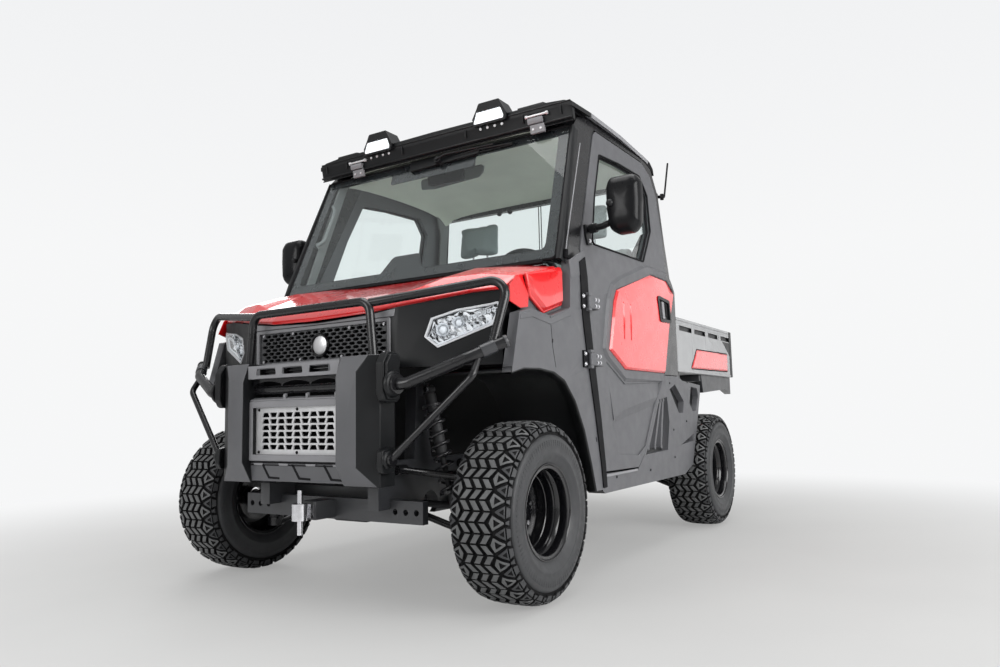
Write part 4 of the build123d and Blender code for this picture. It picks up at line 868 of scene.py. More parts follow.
# between the guard's uprights
bar_face = Form()
holes = [arc_corners([(y - 56, 825), (y + 56, 825), (y + 50, 851), (y - 50, 851)], 7)
         for y in (-140, 0, 140)]
bar_face.relief(arc_corners(box_outline(239, 812.5, 862), 4), facing(BAR_FACE), holes=holes, thickness=5.0)
bar_face.finish("slotted_bar_face", "root", "grille_grey", bevel=1.5)
lattice = Form()
lattice.front([(-238, 829), (238, 829), (238, 846), (-238, 846)], 386.0, 396.0)
lattice.tube([(404, -236, 838), (404, 236, 838)], 4.0, sides=8)
crest = []
for k in range(49):
    y = -222 + 444 * k / 48
    wave = abs(sin((y + 222) / 148 * pi))
    crest.append((y, 789 + 13 * wave ** 0.8))
lattice.front([(-238, 812), (-238, 789)] + crest + [(238, 789), (238, 812)], 398.0, 404.0)
for y in (-74, 74):
    lattice.front([(y - 5, 792), (y - 4, 783), (y + 4, 783), (y + 5, 792)], 398.0, 404.0)
lattice.finish("lattice_under_slotted_bar", "root", "rim_paint", bevel=1.0)
ledge = Form()
ledge.side([(352, 728), (412, 728), (412, 734), (390, 742), (352, 742)], -240, 240)
for y in (-55, 62, 205):
    ledge.side([(398, 740), (410, 734), (410, 750), (404, 754), (398, 754)], y - 6, y + 6)
ledge.finish("intake_ledge", "root", "grille_grey", bevel=1.5)
dark_back = Form()
dark_back.front(box_outline(238, 740, 830), 340.0, 346.0)
dark_back.front(box_outline(238, 508, 728), 352.0, 358.0)
for k in range(12):
    z = 520 + 16.5 * k
    dark_back.side([(358, z), (376, z - 6), (376, z - 3), (358, z + 4)], -219, 219)
dark_back.finish("intake_backing", "root", "rubber_seal")

plate_trim = Form()
ring_slab(plate_trim, facing(PLATE_FACE), arc_corners(box_outline(240, 506, 728), 4),
          arc_corners(box_outline(221.5, 528.5, 703.5), 3), 0.0, -3.0)
plate_trim.finish("plate_surround", "root", "grille_grey", bevel=2.0)
gap_line = Form()
gap_line.front(box_outline(240, 497.5, 502.5), 404.0, 408.5)
gap_line.front(box_outline(240, 488.5, 491.5), 402.0, 407.0)
gap_line.finish("bumper_seams", "root", "rubber_seal")
screws = Form()
for y, z in ((0, 695), (0, 537), (-205, 695), (205, 695), (-205, 537), (205, 537)):
    screws.spun([(0.2, 3.2), (4.5, 2.8), (6.2, 0.5), (6.2, -1), (0.2, -1)], (397, y, z), "x", sides=20,
                closed=False)
screws.finish("plate_screws", "root", "rubber_seal")


def on_skid(y, z, depth):
    """The sloped plate below the bumper."""
    return Vector((398.0 + (z - 430) / 78 * 7 - depth, y, z))


skid = Form()
for y in (-150, 10, 170):
    line = [(y - 32, 494), (y - 20, 494), (y + 10, 448), (y + 62, 446), (y + 62, 438), (y + 2, 440)]
    skid.slab([on_skid(*q, 2.0) for q in line], (3.0, 0, 0))
skid.finish("skid_grooves", "root", "rubber_seal", bevel=0.6)
tabs = Form()
for y in (-196, -60, 80, 214):
    tabs.slab([on_skid(*q, 1.0) for q in ((y - 22, 489), (y + 22, 489), (y + 26, 498), (y - 26, 498))],
              (5.0, 0, 0))
tabs.finish("skid_tabs", "root", "grille_grey", bevel=1.0)

boss = Form()
casing = arc_corners([(338, 708), (410, 708), (424, 740), (424, 842), (398, 880), (338, 880)], 22)
boss.side(casing, 404, 436)
boss.side(drawn_in(casing, 8), 434, 446)
boss.spun([(46, 0), (46, 10), (42, 16), (34, 18), (24, 18), (24, 0)], (385, 442, 769), "y", sides=40)
low = arc_corners([(352, 470), (414, 470), (424, 492), (420, 548), (352, 560)], 16)
boss.side(low, 404, 428)
boss.spun([(32, 0), (32, 8), (28, 13), (20, 14), (14, 14), (14, 0)], (391, 426, 516), "y", sides=32)
boss.pair("guard_mounts", "root", "black_plastic", bevel=3.0, smooth=50)
caps = Form()
tip = Vector((212, 800, 905))
way = (tip - Vector((300, 700, 848))).normalized()
u = way.orthogonal().normalized()
caps.spun([(22.5, -10), (22.5, -1), (21, 1.2), (17, 1.6), (0.2, 1.6)], tip - way * 3, (u, way.cross(u), way),
          sides=32, closed=False)
caps.pair("bar_end_cap", "root", "frame_paint")
bands = Form()
bands.spun([(21.6, -26), (22.6, -25), (22.6, 25), (21.6, 26)], Vector((256, 750, 877)),
           (u, way.cross(u), way), sides=32)
bands.pair("bar_clamp", "root", "frame_paint")

# ================================================================ glass, roof and cab
SCREEN_FOOT, SCREEN_HEAD = Vector((-237.0, 0.0, 1262.0)), Vector((-497.0, 0.0, 1900.0))
SCREEN_UP = (SCREEN_HEAD - SCREEN_FOOT).normalized()
SCREEN_OUT = Vector((SCREEN_UP.z, 0.0, -SCREEN_UP.x))
SCREEN_RUN = (SCREEN_HEAD - SCREEN_FOOT).length


def on_screen(y, v, off):
    """Point of the windscreen: mm to the left, mm up its slope, mm off its inner plane."""
    return SCREEN_FOOT + SCREEN_UP * v + Vector((0, y, 0)) + SCREEN_OUT * off


def screen_half(v):
    """Half width of the windscreen, mm up its slope."""
    return 755.0 - 40.0 * v / SCREEN_RUN


def shell(form, rows, offset):
    """Closed sheet over rows of points, as thick as the offset."""
    offset = Vector(offset)
    n, m = len(rows), len(rows[0])
    front = [Vector(p) for row in rows for p in row]
    start = form.add(front + [p + offset for p in front], [])
    back = start + n * m
    for i in range(n - 1):
        for j in range(m - 1):
            quad = [i * m + j, i * m + j + 1, (i + 1) * m + j + 1, (i + 1) * m + j]
            form.faces += [[start + q for q in quad], [back + q for q in quad[::-1]]]
    edge = list(range(m)) + [i * m + m - 1 for i in range(1, n)]
    edge += [(n - 1) * m + j for j in range(m - 2, -1, -1)] + [i * m for i in range(n - 2, 0, -1)]
    form.faces += [[start + e, back + e, back + f, start + f] for e, f in zip(edge, edge[1:] + edge[:1])]


pane = Form()
corners = arc_corners([(-screen_half(0), 2), (screen_half(0), 2), (screen_half(686), 686),
                       (-screen_half(686), 686)], 22)
pane.slab([on_screen(*q, 0.5) for q in corners], SCREEN_OUT * 4.6)
pane.finish("windscreen_pane", "root", "tinted_glass", replaces=("cab_glass",), bevel=1.0)
frit = Form()
clear = [(-700, 50), (-176, 50), (-165, 58), (-120, 128), (-104, 139), (28, 139), (40, 132), (70, 62),
         (80, 50), (698, 50),
         (662, 648), (240, 648), (230, 640), (226, 590), (216, 583), (-262, 583), (-272, 590), (-276, 640),
         (-286, 648), (-664, 648)]
clear = arc_corners(clear, [34] + [14] * 8 + [34, 26] + [12] * 8 + [26], 3)
frit.relief(drawn_in(corners, 1.0), lambda y, v, d: on_screen(y, v, 0.3 - d), holes=[clear], thickness=1.0)
frit.finish("windscreen_frit", "root", "frit")
seal = Form()
path = [on_screen(*q, 3.0) for q in corners]
seal.tube(path, 6.0, sides=10, closed=True)
seal.finish("windscreen_seal", "root", "rubber_seal")
rear = Form()
corners = arc_corners([(-706, 1352), (706, 1352), (668, 1932), (-668, 1932)], 40)
rear.slab([(-1494.5, y, z) for y, z in corners], (4.8, 0, 0))
rear.finish("rear_window_pane", "root", "tinted_glass", bevel=1.0)
rear_seal = Form()
rear_seal.tube([(-1492.0, y, z) for y, z in corners], 8.0, sides=10, closed=True)
rear_seal.tube([(-1494.0, y, z) for y, z in arc_corners([(-8, 1356), (8, 1356), (8, 1928), (-8, 1928)], 2)],
               3.0, sides=8, closed=True)
rear_seal.finish("rear_window_seal", "root", "rubber_seal")
catches = Form()
for y in (-272, -196, 196, 272):
    catches.tube([(-1480, y, 1880), (-1470, y, 1880)], 16, sides=20)
    catches.side(arc_corners([(-1478, 1868), (-1466, 1868), (-1466, 1893), (-1478, 1893)], 4), y - 9, y + 9)
catches.finish("rear_window_catches", "root", "black_plastic", bevel=1.5)

liner = Form()
rows = []
for a, low in ((-505, 1925), (-560, 1946), (-700, 1962), (-1000, 1972), (-1300, 1966), (-1400, 1944),
               (-1462, 1900)):
    half = skin_y(1930) - 62
    rows.append([(a, s * half * share, low - drop)
                 for s, share, drop in ((-1, 1.0, 62), (-1, 0.97, 34), (-1, 0.86, 8), (-1, 0.5, 2),
                                        (1, 0.0, 0), (1, 0.5, 2), (1, 0.86, 8), (1, 0.97, 34), (1, 1.0, 62))])
shell(liner, rows, (0, 0, 7))
# the lining glows with painted light
liner.finish("roof_lining", "root", "headliner", subdivide=1, smooth=60)
fill = Form()
fill.block(-1486, -1462, -662, 662, 1955, 1999)
fill.block(-590, -520, -690, 690, 1946, 1992)
fill.finish("roof_ends", "root", "black_plastic", bevel=3.0)
strip = Form()
rows = []
for a, z in ((-520, 1966), (-620, 1970), (-1000, 1970), (-1340, 1970), (-1440, 1958), (-1478, 1930)):
    rows.append([(a, 668, z), (a, skin_y(z) - 6, z), (a, skin_y(z) - 10, z + 38), (a, 668, z + 38)])
shell(strip, rows, (0, -0.5, 0.5))
strip.pair("roof_side_seal", "root", "rubber_seal", weld=0)
trim = Form()
post = [(-300, 1290), (-505, 1890), (-560, 1930), (-620, 1930), (-560, 1880), (-352, 1290)]
trim.slab(on_side(arc_corners(post, 10), -68), (0, -9, 0))
post = [(-1385, 1350), (-1410, 1560), (-1405, 1790), (-1350, 1915), (-1380, 1930), (-1482, 1905),
        (-1486, 1350)]
trim.slab(on_side(arc_corners(post, 14), -60), (0, -12, 0))
trim.pair("pillar_trims", "root", "trim_grey", bevel=4.0)
grip = Form()
grip.tube([(-372, -684, 1540), (-384, -652, 1560), (-424, -640, 1668), (-448, -640, 1730),
           (-462, -668, 1760)], 10, 24)
for a, z in ((-372, 1538), (-462, 1762)):
    grip.tube([(a, -700, z), (a, -680, z)], 17, sides=20)
grip.finish("right_grab_handle", "root", "trim_grey", smooth=60)
shade = Form()
outline = arc_corners([(-286, 1900), (-262, 1836), (-172, 1824), (96, 1838), (116, 1862), (112, 1904)], 14)
shade.slab([(-716 - (z - 1870) * 0.4, y, z) for y, z in outline], (9, 0, 0))
shade.tube([(-735, -250, 1908), (-735, 90, 1908)], 7, sides=12)
for y in (-200, 40):
    shade.tube([(-735, y, 1905), (-740, y, 1950)], 9, sides=12)
shade.finish("sun_shade", "root", "shade_grey", bevel=2.0)
inner_mirror = Form()
outline = arc_corners([(-128, 1798), (84, 1798), (92, 1862), (-136, 1862)], 22)
inner_mirror.front(outline, -596, -572)
inner_mirror.tube([(-580, -20, 1840), (-540, -20, 1880), (-520, -20, 1895)], 8, 20)
inner_mirror.finish("cab_mirror", "root", "black_plastic", bevel=7.0, segments=3)

# roof edge, visor and its fittings
visor = Form()
for z, a, radius in ((1920, -452, 5.0), (1907, -460, 3.4), (1992, -447.5, 3.2)):
    visor.tube([(a, -738, z), (a, 738, z)], radius, sides=10)
for y0, y1 in ((-628, -498), (470, 600)):
    visor.side([(-470, 1996), (-452, 2004), (-456, 2020), (-500, 2029), (-560, 2030), (-560, 2004)], y0, y1)
for y in (-700, -560, -190, 190, 500, 690):
    visor.side([(-449, 1940), (-444, 1946), (-444, 1978), (-449, 1984)], y - 3, y + 3)
visor.finish("visor_edges", "root", "black_plastic", bevel=2.0, smooth=50)
latches = Form()
for y0 in (-528, 523):
    latches.tube([(-441, y0 - 4, 1960), (-441, y0 + 106, 1960)], 5.0, sides=12)
    latches.use(1)
    latches.side(arc_corners([(-452, 1925), (-440, 1925), (-436, 1938), (-436, 1951), (-452, 1951)], 3),
                 y0 + 6, y0 + 78)
    latches.side([(-463, 1884), (-449, 1884), (-444, 1921), (-456, 1921)], y0 + 14, y0 + 84)
    latches.use(0)
    for y in (y0, y0 + 102):
        latches.tube([(-441, y - 5, 1960), (-441, y + 5, 1960)], 8.5, sides=6)
    latches.bolt((-444, y0 + 30, 1900), (1, 0, 0), 4.5)
    latches.bolt((-444, y0 + 68, 1900), (1, 0, 0), 4.5)
latches.finish("visor_latches", "root", ("silver_metal", "grille_grey"), bevel=0.8)
wiper = Form()
wiper.slab([on_screen(*q, 6.0) for q in arc_corners([(-150, 626), (250, 640), (256, 686), (-158, 686)], 8)],
           SCREEN_OUT * 14)
wiper.tube([on_screen(20, 652, 8), on_screen(20, 652, 34)], 20, sides=24)
wiper.tube([on_screen(20, 652, 30), on_screen(20, 652, 42)], 11, sides=6)
wiper.tube([on_screen(20, 652, 34), on_screen(60, 668, 34), on_screen(330, 668, 24)], 5.5, 10)
wiper.tube([on_screen(60, 655, 14), on_screen(230, 662, 20), on_screen(430, 655, 14)], 5.0, 40)
wiper.slab([on_screen(*q, 6.2) for q in ((60, 646), (430, 646), (430, 651), (60, 651))], SCREEN_OUT * 9)
wiper.finish("wiper_unit", "root", "black_plastic", bevel=1.0, smooth=50)
lamps = Form()
for y in (-WORK_LAMP_Y, WORK_LAMP_Y):
    lamps.use(2)
    for dy in (-58, -20, 20, 58):
        lamps.bolt((-447.5, y + dy, 1966), (1, 0, 0), 5.0)
    lamps.use(3)
    for k in range(5):
        a = -452 - 13.0 * k
        lamps.front([(y - 90, 2012), (y + 90, 2012), (y + 53, 2079), (y - 53, 2079)], a, a - 5.0)
    face = arc_corners([(y - 92, 1990), (y - 56, 2076), (y + 56, 2076), (y + 94, 2006), (y + 88, 1974),
                        (y - 82, 1974)], 6)
    gap = arc_corners([(y - 80, 1990), (y - 64, 2036), (y + 64, 2036), (y + 79, 1998), (y + 77, 1984),
                       (y - 77, 1984)], 4)
    ring_slab(lamps, facing(-427.0), face, gap, 9.0, -1.0)
    # window face and LED cups take the glowing white: painted light
    lamps.use(0)
    lamps.front(gap, -427.5, -425.5)
    for k in range(4):
        for row in range(2):
            middle = (-425.5, y + (k - 1.5) * (33 - 3 * row), 1997 + 21 * row)
            lamps.spun([(9.5, 0), (9.5, 3.5), (7.5, 3.5), (3.0, 0.6), (3.0, 0)], middle, "x", sides=18)
    lamps.use(1)
    lamps.front(drawn_in(gap, 0.6), -420.5, -419.0)
lamps.finish("work_lamp_windows", "root", ("lamp_window_painted_light", "lamp_lens", "silver_metal", "black_plastic"),
             bevel=0.8)

# outside of the cab: cowl, pillars, aerials
cover = Form()
rows = []
for k in range(9):
    v = SCREEN_RUN * k / 8 - 4
    z = on_screen(0, v, 0).z
    edge = skin_y(z)
    rows.append([on_screen(screen_half(v) + 3, v, -2), on_screen(screen_half(v) + 4, v, 9),
                 on_screen(edge - 6, v, 9), on_screen(edge - 1, v, 4), on_screen(edge - 1, v, -40)])
shell(cover, rows, (-0.6, -0.6, 0))
cover.pair("pillar_cover", "root", "black_plastic", weld=0, smooth=50)
cowl = Form()
cowl.slab([on_screen(y, -3, off) for y, off in ((-700, -4), (-700, 12), (700, 12), (700, -4))],
          SCREEN_UP * -12)
for k in range(40):
    y = -600 + k * 30.0
    cowl.slab([on_screen(y + dy, -8, off) for dy, off in ((0, 11), (0, 14), (16, 14), (16, 11))],
              SCREEN_UP * -6)
cowl.finish("cowl_strip", "root", "rubber_seal", bevel=1.0)
aerials = Form()
aerials.tube([(-262, 784, 1266), (-268, 784, 1300)], 8, sides=16)
for k in range(5):
    aerials.tube([(-262 - k * 1.2, 784, 1268 + 7 * k), (-262.6 - k * 1.2, 784, 1272 + 7 * k)], 10.5, sides=16)
aerials.use(1)
aerials.tube([(-268, 784, 1300), (-282, 782, 1336), (-470, 766, 1800)], 0, sides=10, taper=[3.2, 2.8, 2.0])
aerials.use(0)
aerials.tube([(-1556, 715, 1832), (-1580, 724, 1836)], 9, sides=14)
aerials.tube([(-1580, 724, 1820), (-1580, 724, 1852)], 10, sides=14)
aerials.tube([(-1580, 724, 1836), (-1618, 724, 1842), (-1700, 724, 2060)], 5.0, 14, sides=10)
aerials.side(arc_corners([(-1498, 1800), (-1562, 1812), (-1562, 1850), (-1498, 1862)], 6), 700, 708)
aerials.finish("aerials", "root", ("rubber_seal", "grille_grey"), smooth=50)

# ================================================================ doors
DOOR = [(-541, 412), (-515, 633), (-461, 916), (-439, 1047), (-430, 1208), (-409, 1330), (-690, 1915),
        (-720, 1938),
        (-1290, 1948), (-1390, 1905), (-1444, 1800), (-1452, 1560), (-1438, 1348), (-1528, 1292),
        (-1336, 838), (-1022, 459), (-945, 405)]
WINDOW = [(-726, 1831), (-615, 1607), (-526, 1370), (-1124, 1388), (-1282, 1572), (-1305, 1774),
          (-1224, 1862), (-955, 1853)]
INSERT = [(-758, 1203), (-1198, 1335), (-1426, 1335), (-1516, 1289), (-1330, 848), (-826, 848), (-657, 928),
          (-722, 1147)]
HANDLE = [(-1262, 1232), (-1420, 1222), (-1436, 1118), (-1290, 1114)]
FIELD = [(-628, 875), (-821, 782), (-1262, 798), (-1041, 497), (-951, 460), (-725, 473), (-675, 624)]


def looped(points):
    return list(points) + [points[0]]


def near(p, loop, reach=0.7):
    """Whether a point lies on a closed outline."""
    return distance_to(p, loop) < reach


def door_skin():
    """Outer skin: flat fields that fall away at the edge, the window, the insert and the lower field."""
    edge = drawn_in(DOOR, 2.0)
    window, pocket, field = drawn_in(WINDOW, -1.0), drawn_in(INSERT, -3.0), drawn_in(FIELD, 0.5)

    band = [(-1470, 1372), (-1168, 1368), (-1100, 1356), (-800, 1256), (-708, 1218), (-668, 1150),
            (-606, 930), (-636, 896), (-812, 808), (-1330, 808)]

    def place(a, z, depth):
        p = (a, z)
        low = 5.0 if near(p, edge) else 2.0 if near(p, window) else -3.0 if near(p, pocket) else 5.0 \
            if near(p, field) else -10.0 if near(p, band) else 1.5
        return Vector((a, skin_y(z) - (depth or low), z))

    foot = [(-1470, 1386), (-1168, 1383), (-1094, 1371), (-796, 1271), (-697, 1229), (-651, 1150),
            (-589, 928)]
    lines = [looped(drawn_in(edge, 13)), looped(drawn_in(WINDOW, -16)), band, foot,
             looped(drawn_in(FIELD, -9)), [(-1600, BELT_Z), (-380, BELT_Z)]]
    skin = Form()
    skin.relief(edge, place, holes=[window, pocket, field], lines=lines)
    skin.pair("door_skin", "{side}_door", "dark_plastic", smooth=5)
    ridge = [(-676, 628), (-776, 665), (-1212, 729)]
    under = [(-682, 606), (-789, 628), (-1180, 686)]

    def field_place(a, z, depth):
        p = (a, z)
        if min((Vector(p) - Vector(q)).length for q in ridge) < 1.0 or near(p, looped(ridge[:2]), 0.4) \
                or near(p, looped(ridge[1:]), 0.4):
            low = -3.5
        else:
            low = 6.4 if z < 700 - (a + 680) * 0.04 and near(p, FIELD, 3) and z < 600 else 4.5
            low = 6.8 if near(p, looped(under[:2]), 0.4) or near(p, looped(under[1:]), 0.4) else low
        return Vector((a, BODY_HALF - (depth or low), z))

    panel = Form()
    panel.relief(drawn_in(FIELD, 0.6), field_place, lines=[ridge, under])
    panel.pair("door_lower_field", "{side}_door", "dark_plastic", smooth=3)


def door_insert():
    """Painted panel with a chamfer along its top, two flutes and a sunk handle."""
    edge = drawn_in(INSERT, 1.0)
    crest = [(-728, 1190), (-745, 1203), (-1160, 1262), (-1420, 1268), (-1496, 1270)]
    brow = [(-768, 1204), (-1196, 1328), (-1424, 1328), (-1500, 1290)]
    handle = arc_corners(drawn_in(HANDLE, 2.0), 10)
    inner = drawn_in(edge, 9.0)

    def place(a, z, depth):
        p = (a, z)
        if near(p, edge):
            low = 3.0 if z > 1210 else -3.0
        elif near(p, handle):
            low = -9.0
        elif z > 1150 and any(near(p, [q, r], 0.6) for q, r in zip(brow, brow[1:])):
            low = 2.0
        else:
            low = -11.8
        return Vector((a, BODY_HALF - low - depth, z))

    flutes = [arc_corners([(m - 9, 1150), (m + 5, 1156), (m + 13, 1070), (m + 9, 985), (m - 2, 978),
                           (m - 13, 1070)], 20)
              for m in (-812, -892)]
    panel = Form()
    panel.relief(edge, place, holes=[handle], dents=[(f, 4.5, 8.0) for f in flutes],
                 lines=[inner[4:] + inner[:1], crest, brow], thickness=14.0)
    panel.pair("door_red_panel", "{side}_door", "red_paint", smooth=28,
                 replaces=("{side}_door_insert",))
    bezel = Form()
    rim = arc_corners(HANDLE, 12)
    side_place = lambda a, z, depth: Vector((a, BODY_HALF + 12.0 - depth, z))
    ring_slab(bezel, side_place, drawn_in(rim, -7), drawn_in(rim, 9), 11.0, -2.0)
    bezel.slab([side_place(a, z, 11.4) for a, z in drawn_in(rim, -2)], (0, 3.0, 0))
    bezel.use(1)
    lever = arc_corners([(-1318, 1214), (-1348, 1212), (-1362, 1130), (-1330, 1128)], 6)
    bezel.slab([side_place(a, z, 9.5) for a, z in lever], (0, 7.5, 0))
    bezel.use(0)
    bezel.tube([side_place(-1388, 1140, 8.0), side_place(-1384, 1210, 8.0)], 5.0, sides=10)
    bezel.pair("door_handle", "{side}_door", ("black_plastic", "grille_grey"), bevel=1.5)


def door_trim():
    """Window frame, door seal, hinge bolts and the mirror."""
    frame_loop = arc_corners(WINDOW, 26)
    trim = Form()
    trim.tube(on_side(drawn_in(frame_loop, 3), 0.5), 4.5, sides=8, closed=True)
    trim.tube(on_side(drawn_in(frame_loop, 3), -20), 7.5, sides=8, closed=True)
    trim.pair("window_seal", "{side}_door", "rubber_seal", smooth=50)
    gasket = Form()
    gasket.tube(on_side(arc_corners(drawn_in(DOOR, 5), 10), -30), 6.0, sides=8, closed=True)
    gasket.pair("door_gasket", "{side}_door", "rubber_seal", smooth=50)
    hinge = Form()
    for z in HINGE_HEIGHTS:
        for dz in (-13, 13):
            hinge.bolt((-452, 820, z + dz), (0, 1, 0), 6.0)
            hinge.bolt((-478, 820, z + dz), (0, 1, 0), 6.0)
    hinge.pair("hinge_bolts", "{side}_door", "zinc")
    head = Form()
    rim = arc_corners([(898, 1620), (884, 1580), (884, 1480), (896, 1400), (930, 1378), (1000, 1379),
                       (1026, 1410), (1032, 1500), (1030, 1588), (1008, 1620)], 34, 5)
    mid = Vector((960.0, 1500.0))
    layers = [(-489, .90), (-490, .96), (-486, 1.0), (-468, 1.0), (-452, .975), (-440, .92), (-431, .83),
              (-425, .68), (-421, .48), (-418.5, .26), (-417.5, .06)]
    rows = [[(a, mid.x + (y - mid.x) * s, mid.y + (z - mid.y) * s) for y, z in rim] for a, s in layers]
    head.loft(rows)
    head.pair("mirror_head", "{side}_door", "black_gloss", smooth=60,
                replaces=("{side}_mirror",))
    pane = Form()
    pane.slab([(-490.6, mid.x + (y - mid.x) * .88, mid.y + (z - mid.y) * .88) for y, z in rim], (1.4, 0, 0))
    pane.pair("mirror_pane", "{side}_door", "mirror_glass")
    arm = Form()
    foot = arc_corners([(-512, 1362), (-470, 1356), (-462, 1392), (-462, 1444), (-508, 1448)], 8)
    arm.slab(on_side(foot, -1), (0, 11, 0))
    arm.tube([(-487, 782, 1426), (-482, 850, 1428), (-478, 896, 1440), (-472, 906, 1500)], 13.5, 22, sides=18)
    arm.tube([(-487, 790, 1426), (-486, 822, 1427)], 20, sides=20)
    arm.ball((-479, 893, 1438), 19)
    arm.ball((-424, 912, 1503), 17)
    arm.tube([(-424, 912, 1503), (-412, 912, 1503)], 8, sides=14)
    arm.pair("mirror_arm", "{side}_door", "black_plastic", smooth=50, bevel=1.0)
    bolt = Form()
    bolt.bolt((-490, skin_y(1376) + 10, 1376), (0, 1, 0), 6.5)
    bolt.bolt((-490, 800, 1447), (0, 0, 1), 5.0)
    bolt.pair("mirror_bolts", "{side}_door", "zinc")


door_skin()
door_insert()
door_trim()

# ================================================================ fenders, sills, bonnet
ARCH = [(190, 800), (110, 818), (-3, 821), (-110, 812), (-195, 783), (-280, 705), (-353, 591), (-410, 450),
        (-444, 345)]
lip = Form()
line = rounded_path([Vector((a, 0, z)) for a, z in ARCH], 90)
rows = []
for i, q in enumerate(line):
    ahead = (line[min(i + 1, len(line) - 1)] - line[max(i - 1, 0)]).normalized()
    out = Vector((-ahead.z, 0, ahead.x))
    out = out if out.z > 0.3 * out.x else -out
    rows.append([q - out * 1.5 + Vector((0, y, 0)) + out * o
                 for y, o in ((762, -5), (795, -5), (799, -2), (799.6, 6), (799.6, 16), (797, 19),
                              (762, 19))])
shell(lip, rows, (0, -0.8, 0))
lip.pair("arch_lip", "root", "black_plastic", weld=0, smooth=50)
strip = Form()
rear = [(-398, 1290), (-416, 1208), (-425, 1047), (-447, 916), (-502, 633), (-530, 444), (-538, 352)]
rear_ahead = [(-346, 1262), (-352, 1208), (-360, 1047), (-384, 916), (-452, 633), (-490, 444), (-502, 352)]
strip.side(rear + rear_ahead[::-1], 800.5, 805.5)
for z in HINGE_HEIGHTS:
    strip.side([(-352, z - 34), (-400, z - 34), (-400, z + 34), (-352, z + 34)], 800, 807)
    for dz in (-21, 21):
        strip.use(1)
        strip.bolt((-368, 807, z + dz), (0, 1, 0), 6.5)
        strip.use(0)
strip.pair("hinge_strip", "root", ("rubber_seal", "zinc"), bevel=1.0)
seam = Form()
line = [(-90, 1019), (-97, 960), (-104, 900), (-118, 850), (-124, 828)]
seam.side(line + [(a - 2.6, z) for a, z in line[::-1]], 799.6, 800.5)
seam.side(arc_corners([(-99, 917), (-108, 919), (-110, 934), (-101, 932)], 4), 799.4, 800.6)
seam.side(arc_corners([(-450, 560), (-457, 560), (-461, 540), (-454, 540)], 3), 799.4, 800.6)
seam.pair("fender_seam", "root", "rubber_seal")
brow = Form()
top = [(-262, 1254), (-276, 1262), (-392, 1318), (-404, 1300), (-412, 1230), (-272, 1180)]
brow.side(top, 796, 802)
crest = [(-254, 1070), (-240, 1060), (-92, 1010), (50, 1024), (124, 1004), (130, 985), (40, 1000),
         (-92, 985), (-262, 1036)]
brow.side(crest, 796, 803)
brow.pair("fender_crest", "root", "dark_plastic", bevel=5.0, segments=3)
cowl_side = Form()
panel = [(-240, 1226), (22, 1162), (4, 1086), (-90, 1034), (-240, 1080)]
edge, crown = drawn_in(panel, 1.0), drawn_in(panel, 16.0)


def on_cowl(a, z, depth):
    y = 773.0 if near((a, z), edge) else 787.0 - max(0, a + 60) * 0.05
    return Vector((a, y - depth, z))


def on_cheek(a, z, depth):
    return Vector((a, 779.0 - (z - 1040) * 0.2 - depth, z))


cowl_side.relief(edge, on_cowl, lines=[looped(crown)])
cowl_side.relief([(30, 1163), (78, 1150), (134, 1108), (153, 1048), (92, 1030), (34, 1040), (12, 1084)],
                 on_cheek, thickness=5.0)
cowl_side.pair("cowl_panel", "root", "red_paint", smooth=35)
sill = Form()
sill.block(-935, -565, 770, 779.5, 388, 399)
sill.pair("sill_strip", "root", "grille_grey", bevel=2.0)
ribs = Form()
for (a0, z0), (a1, z1) in (((-1272, 712), (-1108, 478)), ((-1306, 716), (-1196, 478)),
                           ((-1342, 718), (-1284, 478))):
    for share in (0.02, 0.98):
        a, z = a0 + (a1 - a0) * share, z0 + (z1 - z0) * share
        ribs.tube([(a, 760, z), (a, 768, z)], 11.5, sides=18)
ribs.use(1)
for a, z in ((-1450, 560), (-1450, 420), (-700, 380), (-1100, 380), (-1660, 600), (-1420, 800), (-1700, 812)):
    ribs.bolt((a, 776, z), (0, 1, 0), 5.0)
ribs.pair("louvre_ends", "root", ("dark_plastic", "black_plastic"), bevel=1.5)
softened("upper_grille", "grille_honeycomb", "root", "grille_web", bevel=0.0)
softened("bonnet", "bonnet_panel", "root", "red_paint", bevel=16.0, segments=4, limit=4.0, smooth=60)

# ================================================================ load bed
plate = [(-2010, 1012), (-2652, 1020), (-2642, 905), (-1895, 896)]
bed_plate = Form()
outer = arc_corners(plate, 10)
bed_plate.side(drawn_in(outer, -4), BED_HALF - 0.2, BED_HALF + 1.6)
bed_plate.use(1)
face = drawn_in(plate, 3.0)
crown = drawn_in(plate, 11.0)


def on_bed_plate(a, z, depth):
    return Vector((a, BED_HALF + (1.8 if near((a, z), face) else 5.5) - depth, z))


bed_plate.relief(face, on_bed_plate, lines=[looped(crown)])
bed_plate.pair("bed_plate", "load_bed", ("rubber_seal", "red_paint"), smooth=20)
posts = Form()
posts.block(-2762, -2716, BED_HALF - 8, BED_HALF + 3, 872, 1165)
posts.block(-2762, -2700, BED_HALF - 20, BED_HALF + 3, 1163, 1173)
posts.side([(-2716, 1098), (-2560, 1098), (-2716, 1010)], BED_HALF - 3, BED_HALF + 1.2)
posts.pair("bed_corner", "load_bed", "black_plastic", bevel=2.0)
rail = Form()
rail.side(arc_corners([(-1660, 1158), (-2700, 1158), (-2700, 1173), (-1660, 1173)], 4), BED_HALF - 28,
          BED_HALF + 4)
rail.side([(-1660, 872), (-2716, 872), (-2716, 884), (-1660, 884)], BED_HALF - 4, BED_HALF + 3)
for a in range(-1672, -2982, -262):
    rail.side([(a, 884), (a - 18, 884), (a - 18, 1158), (a, 1158)], BED_HALF - 2, BED_HALF + 1)
rail.pair("bed_rail", "load_bed", "bed_steel", bevel=2.0)

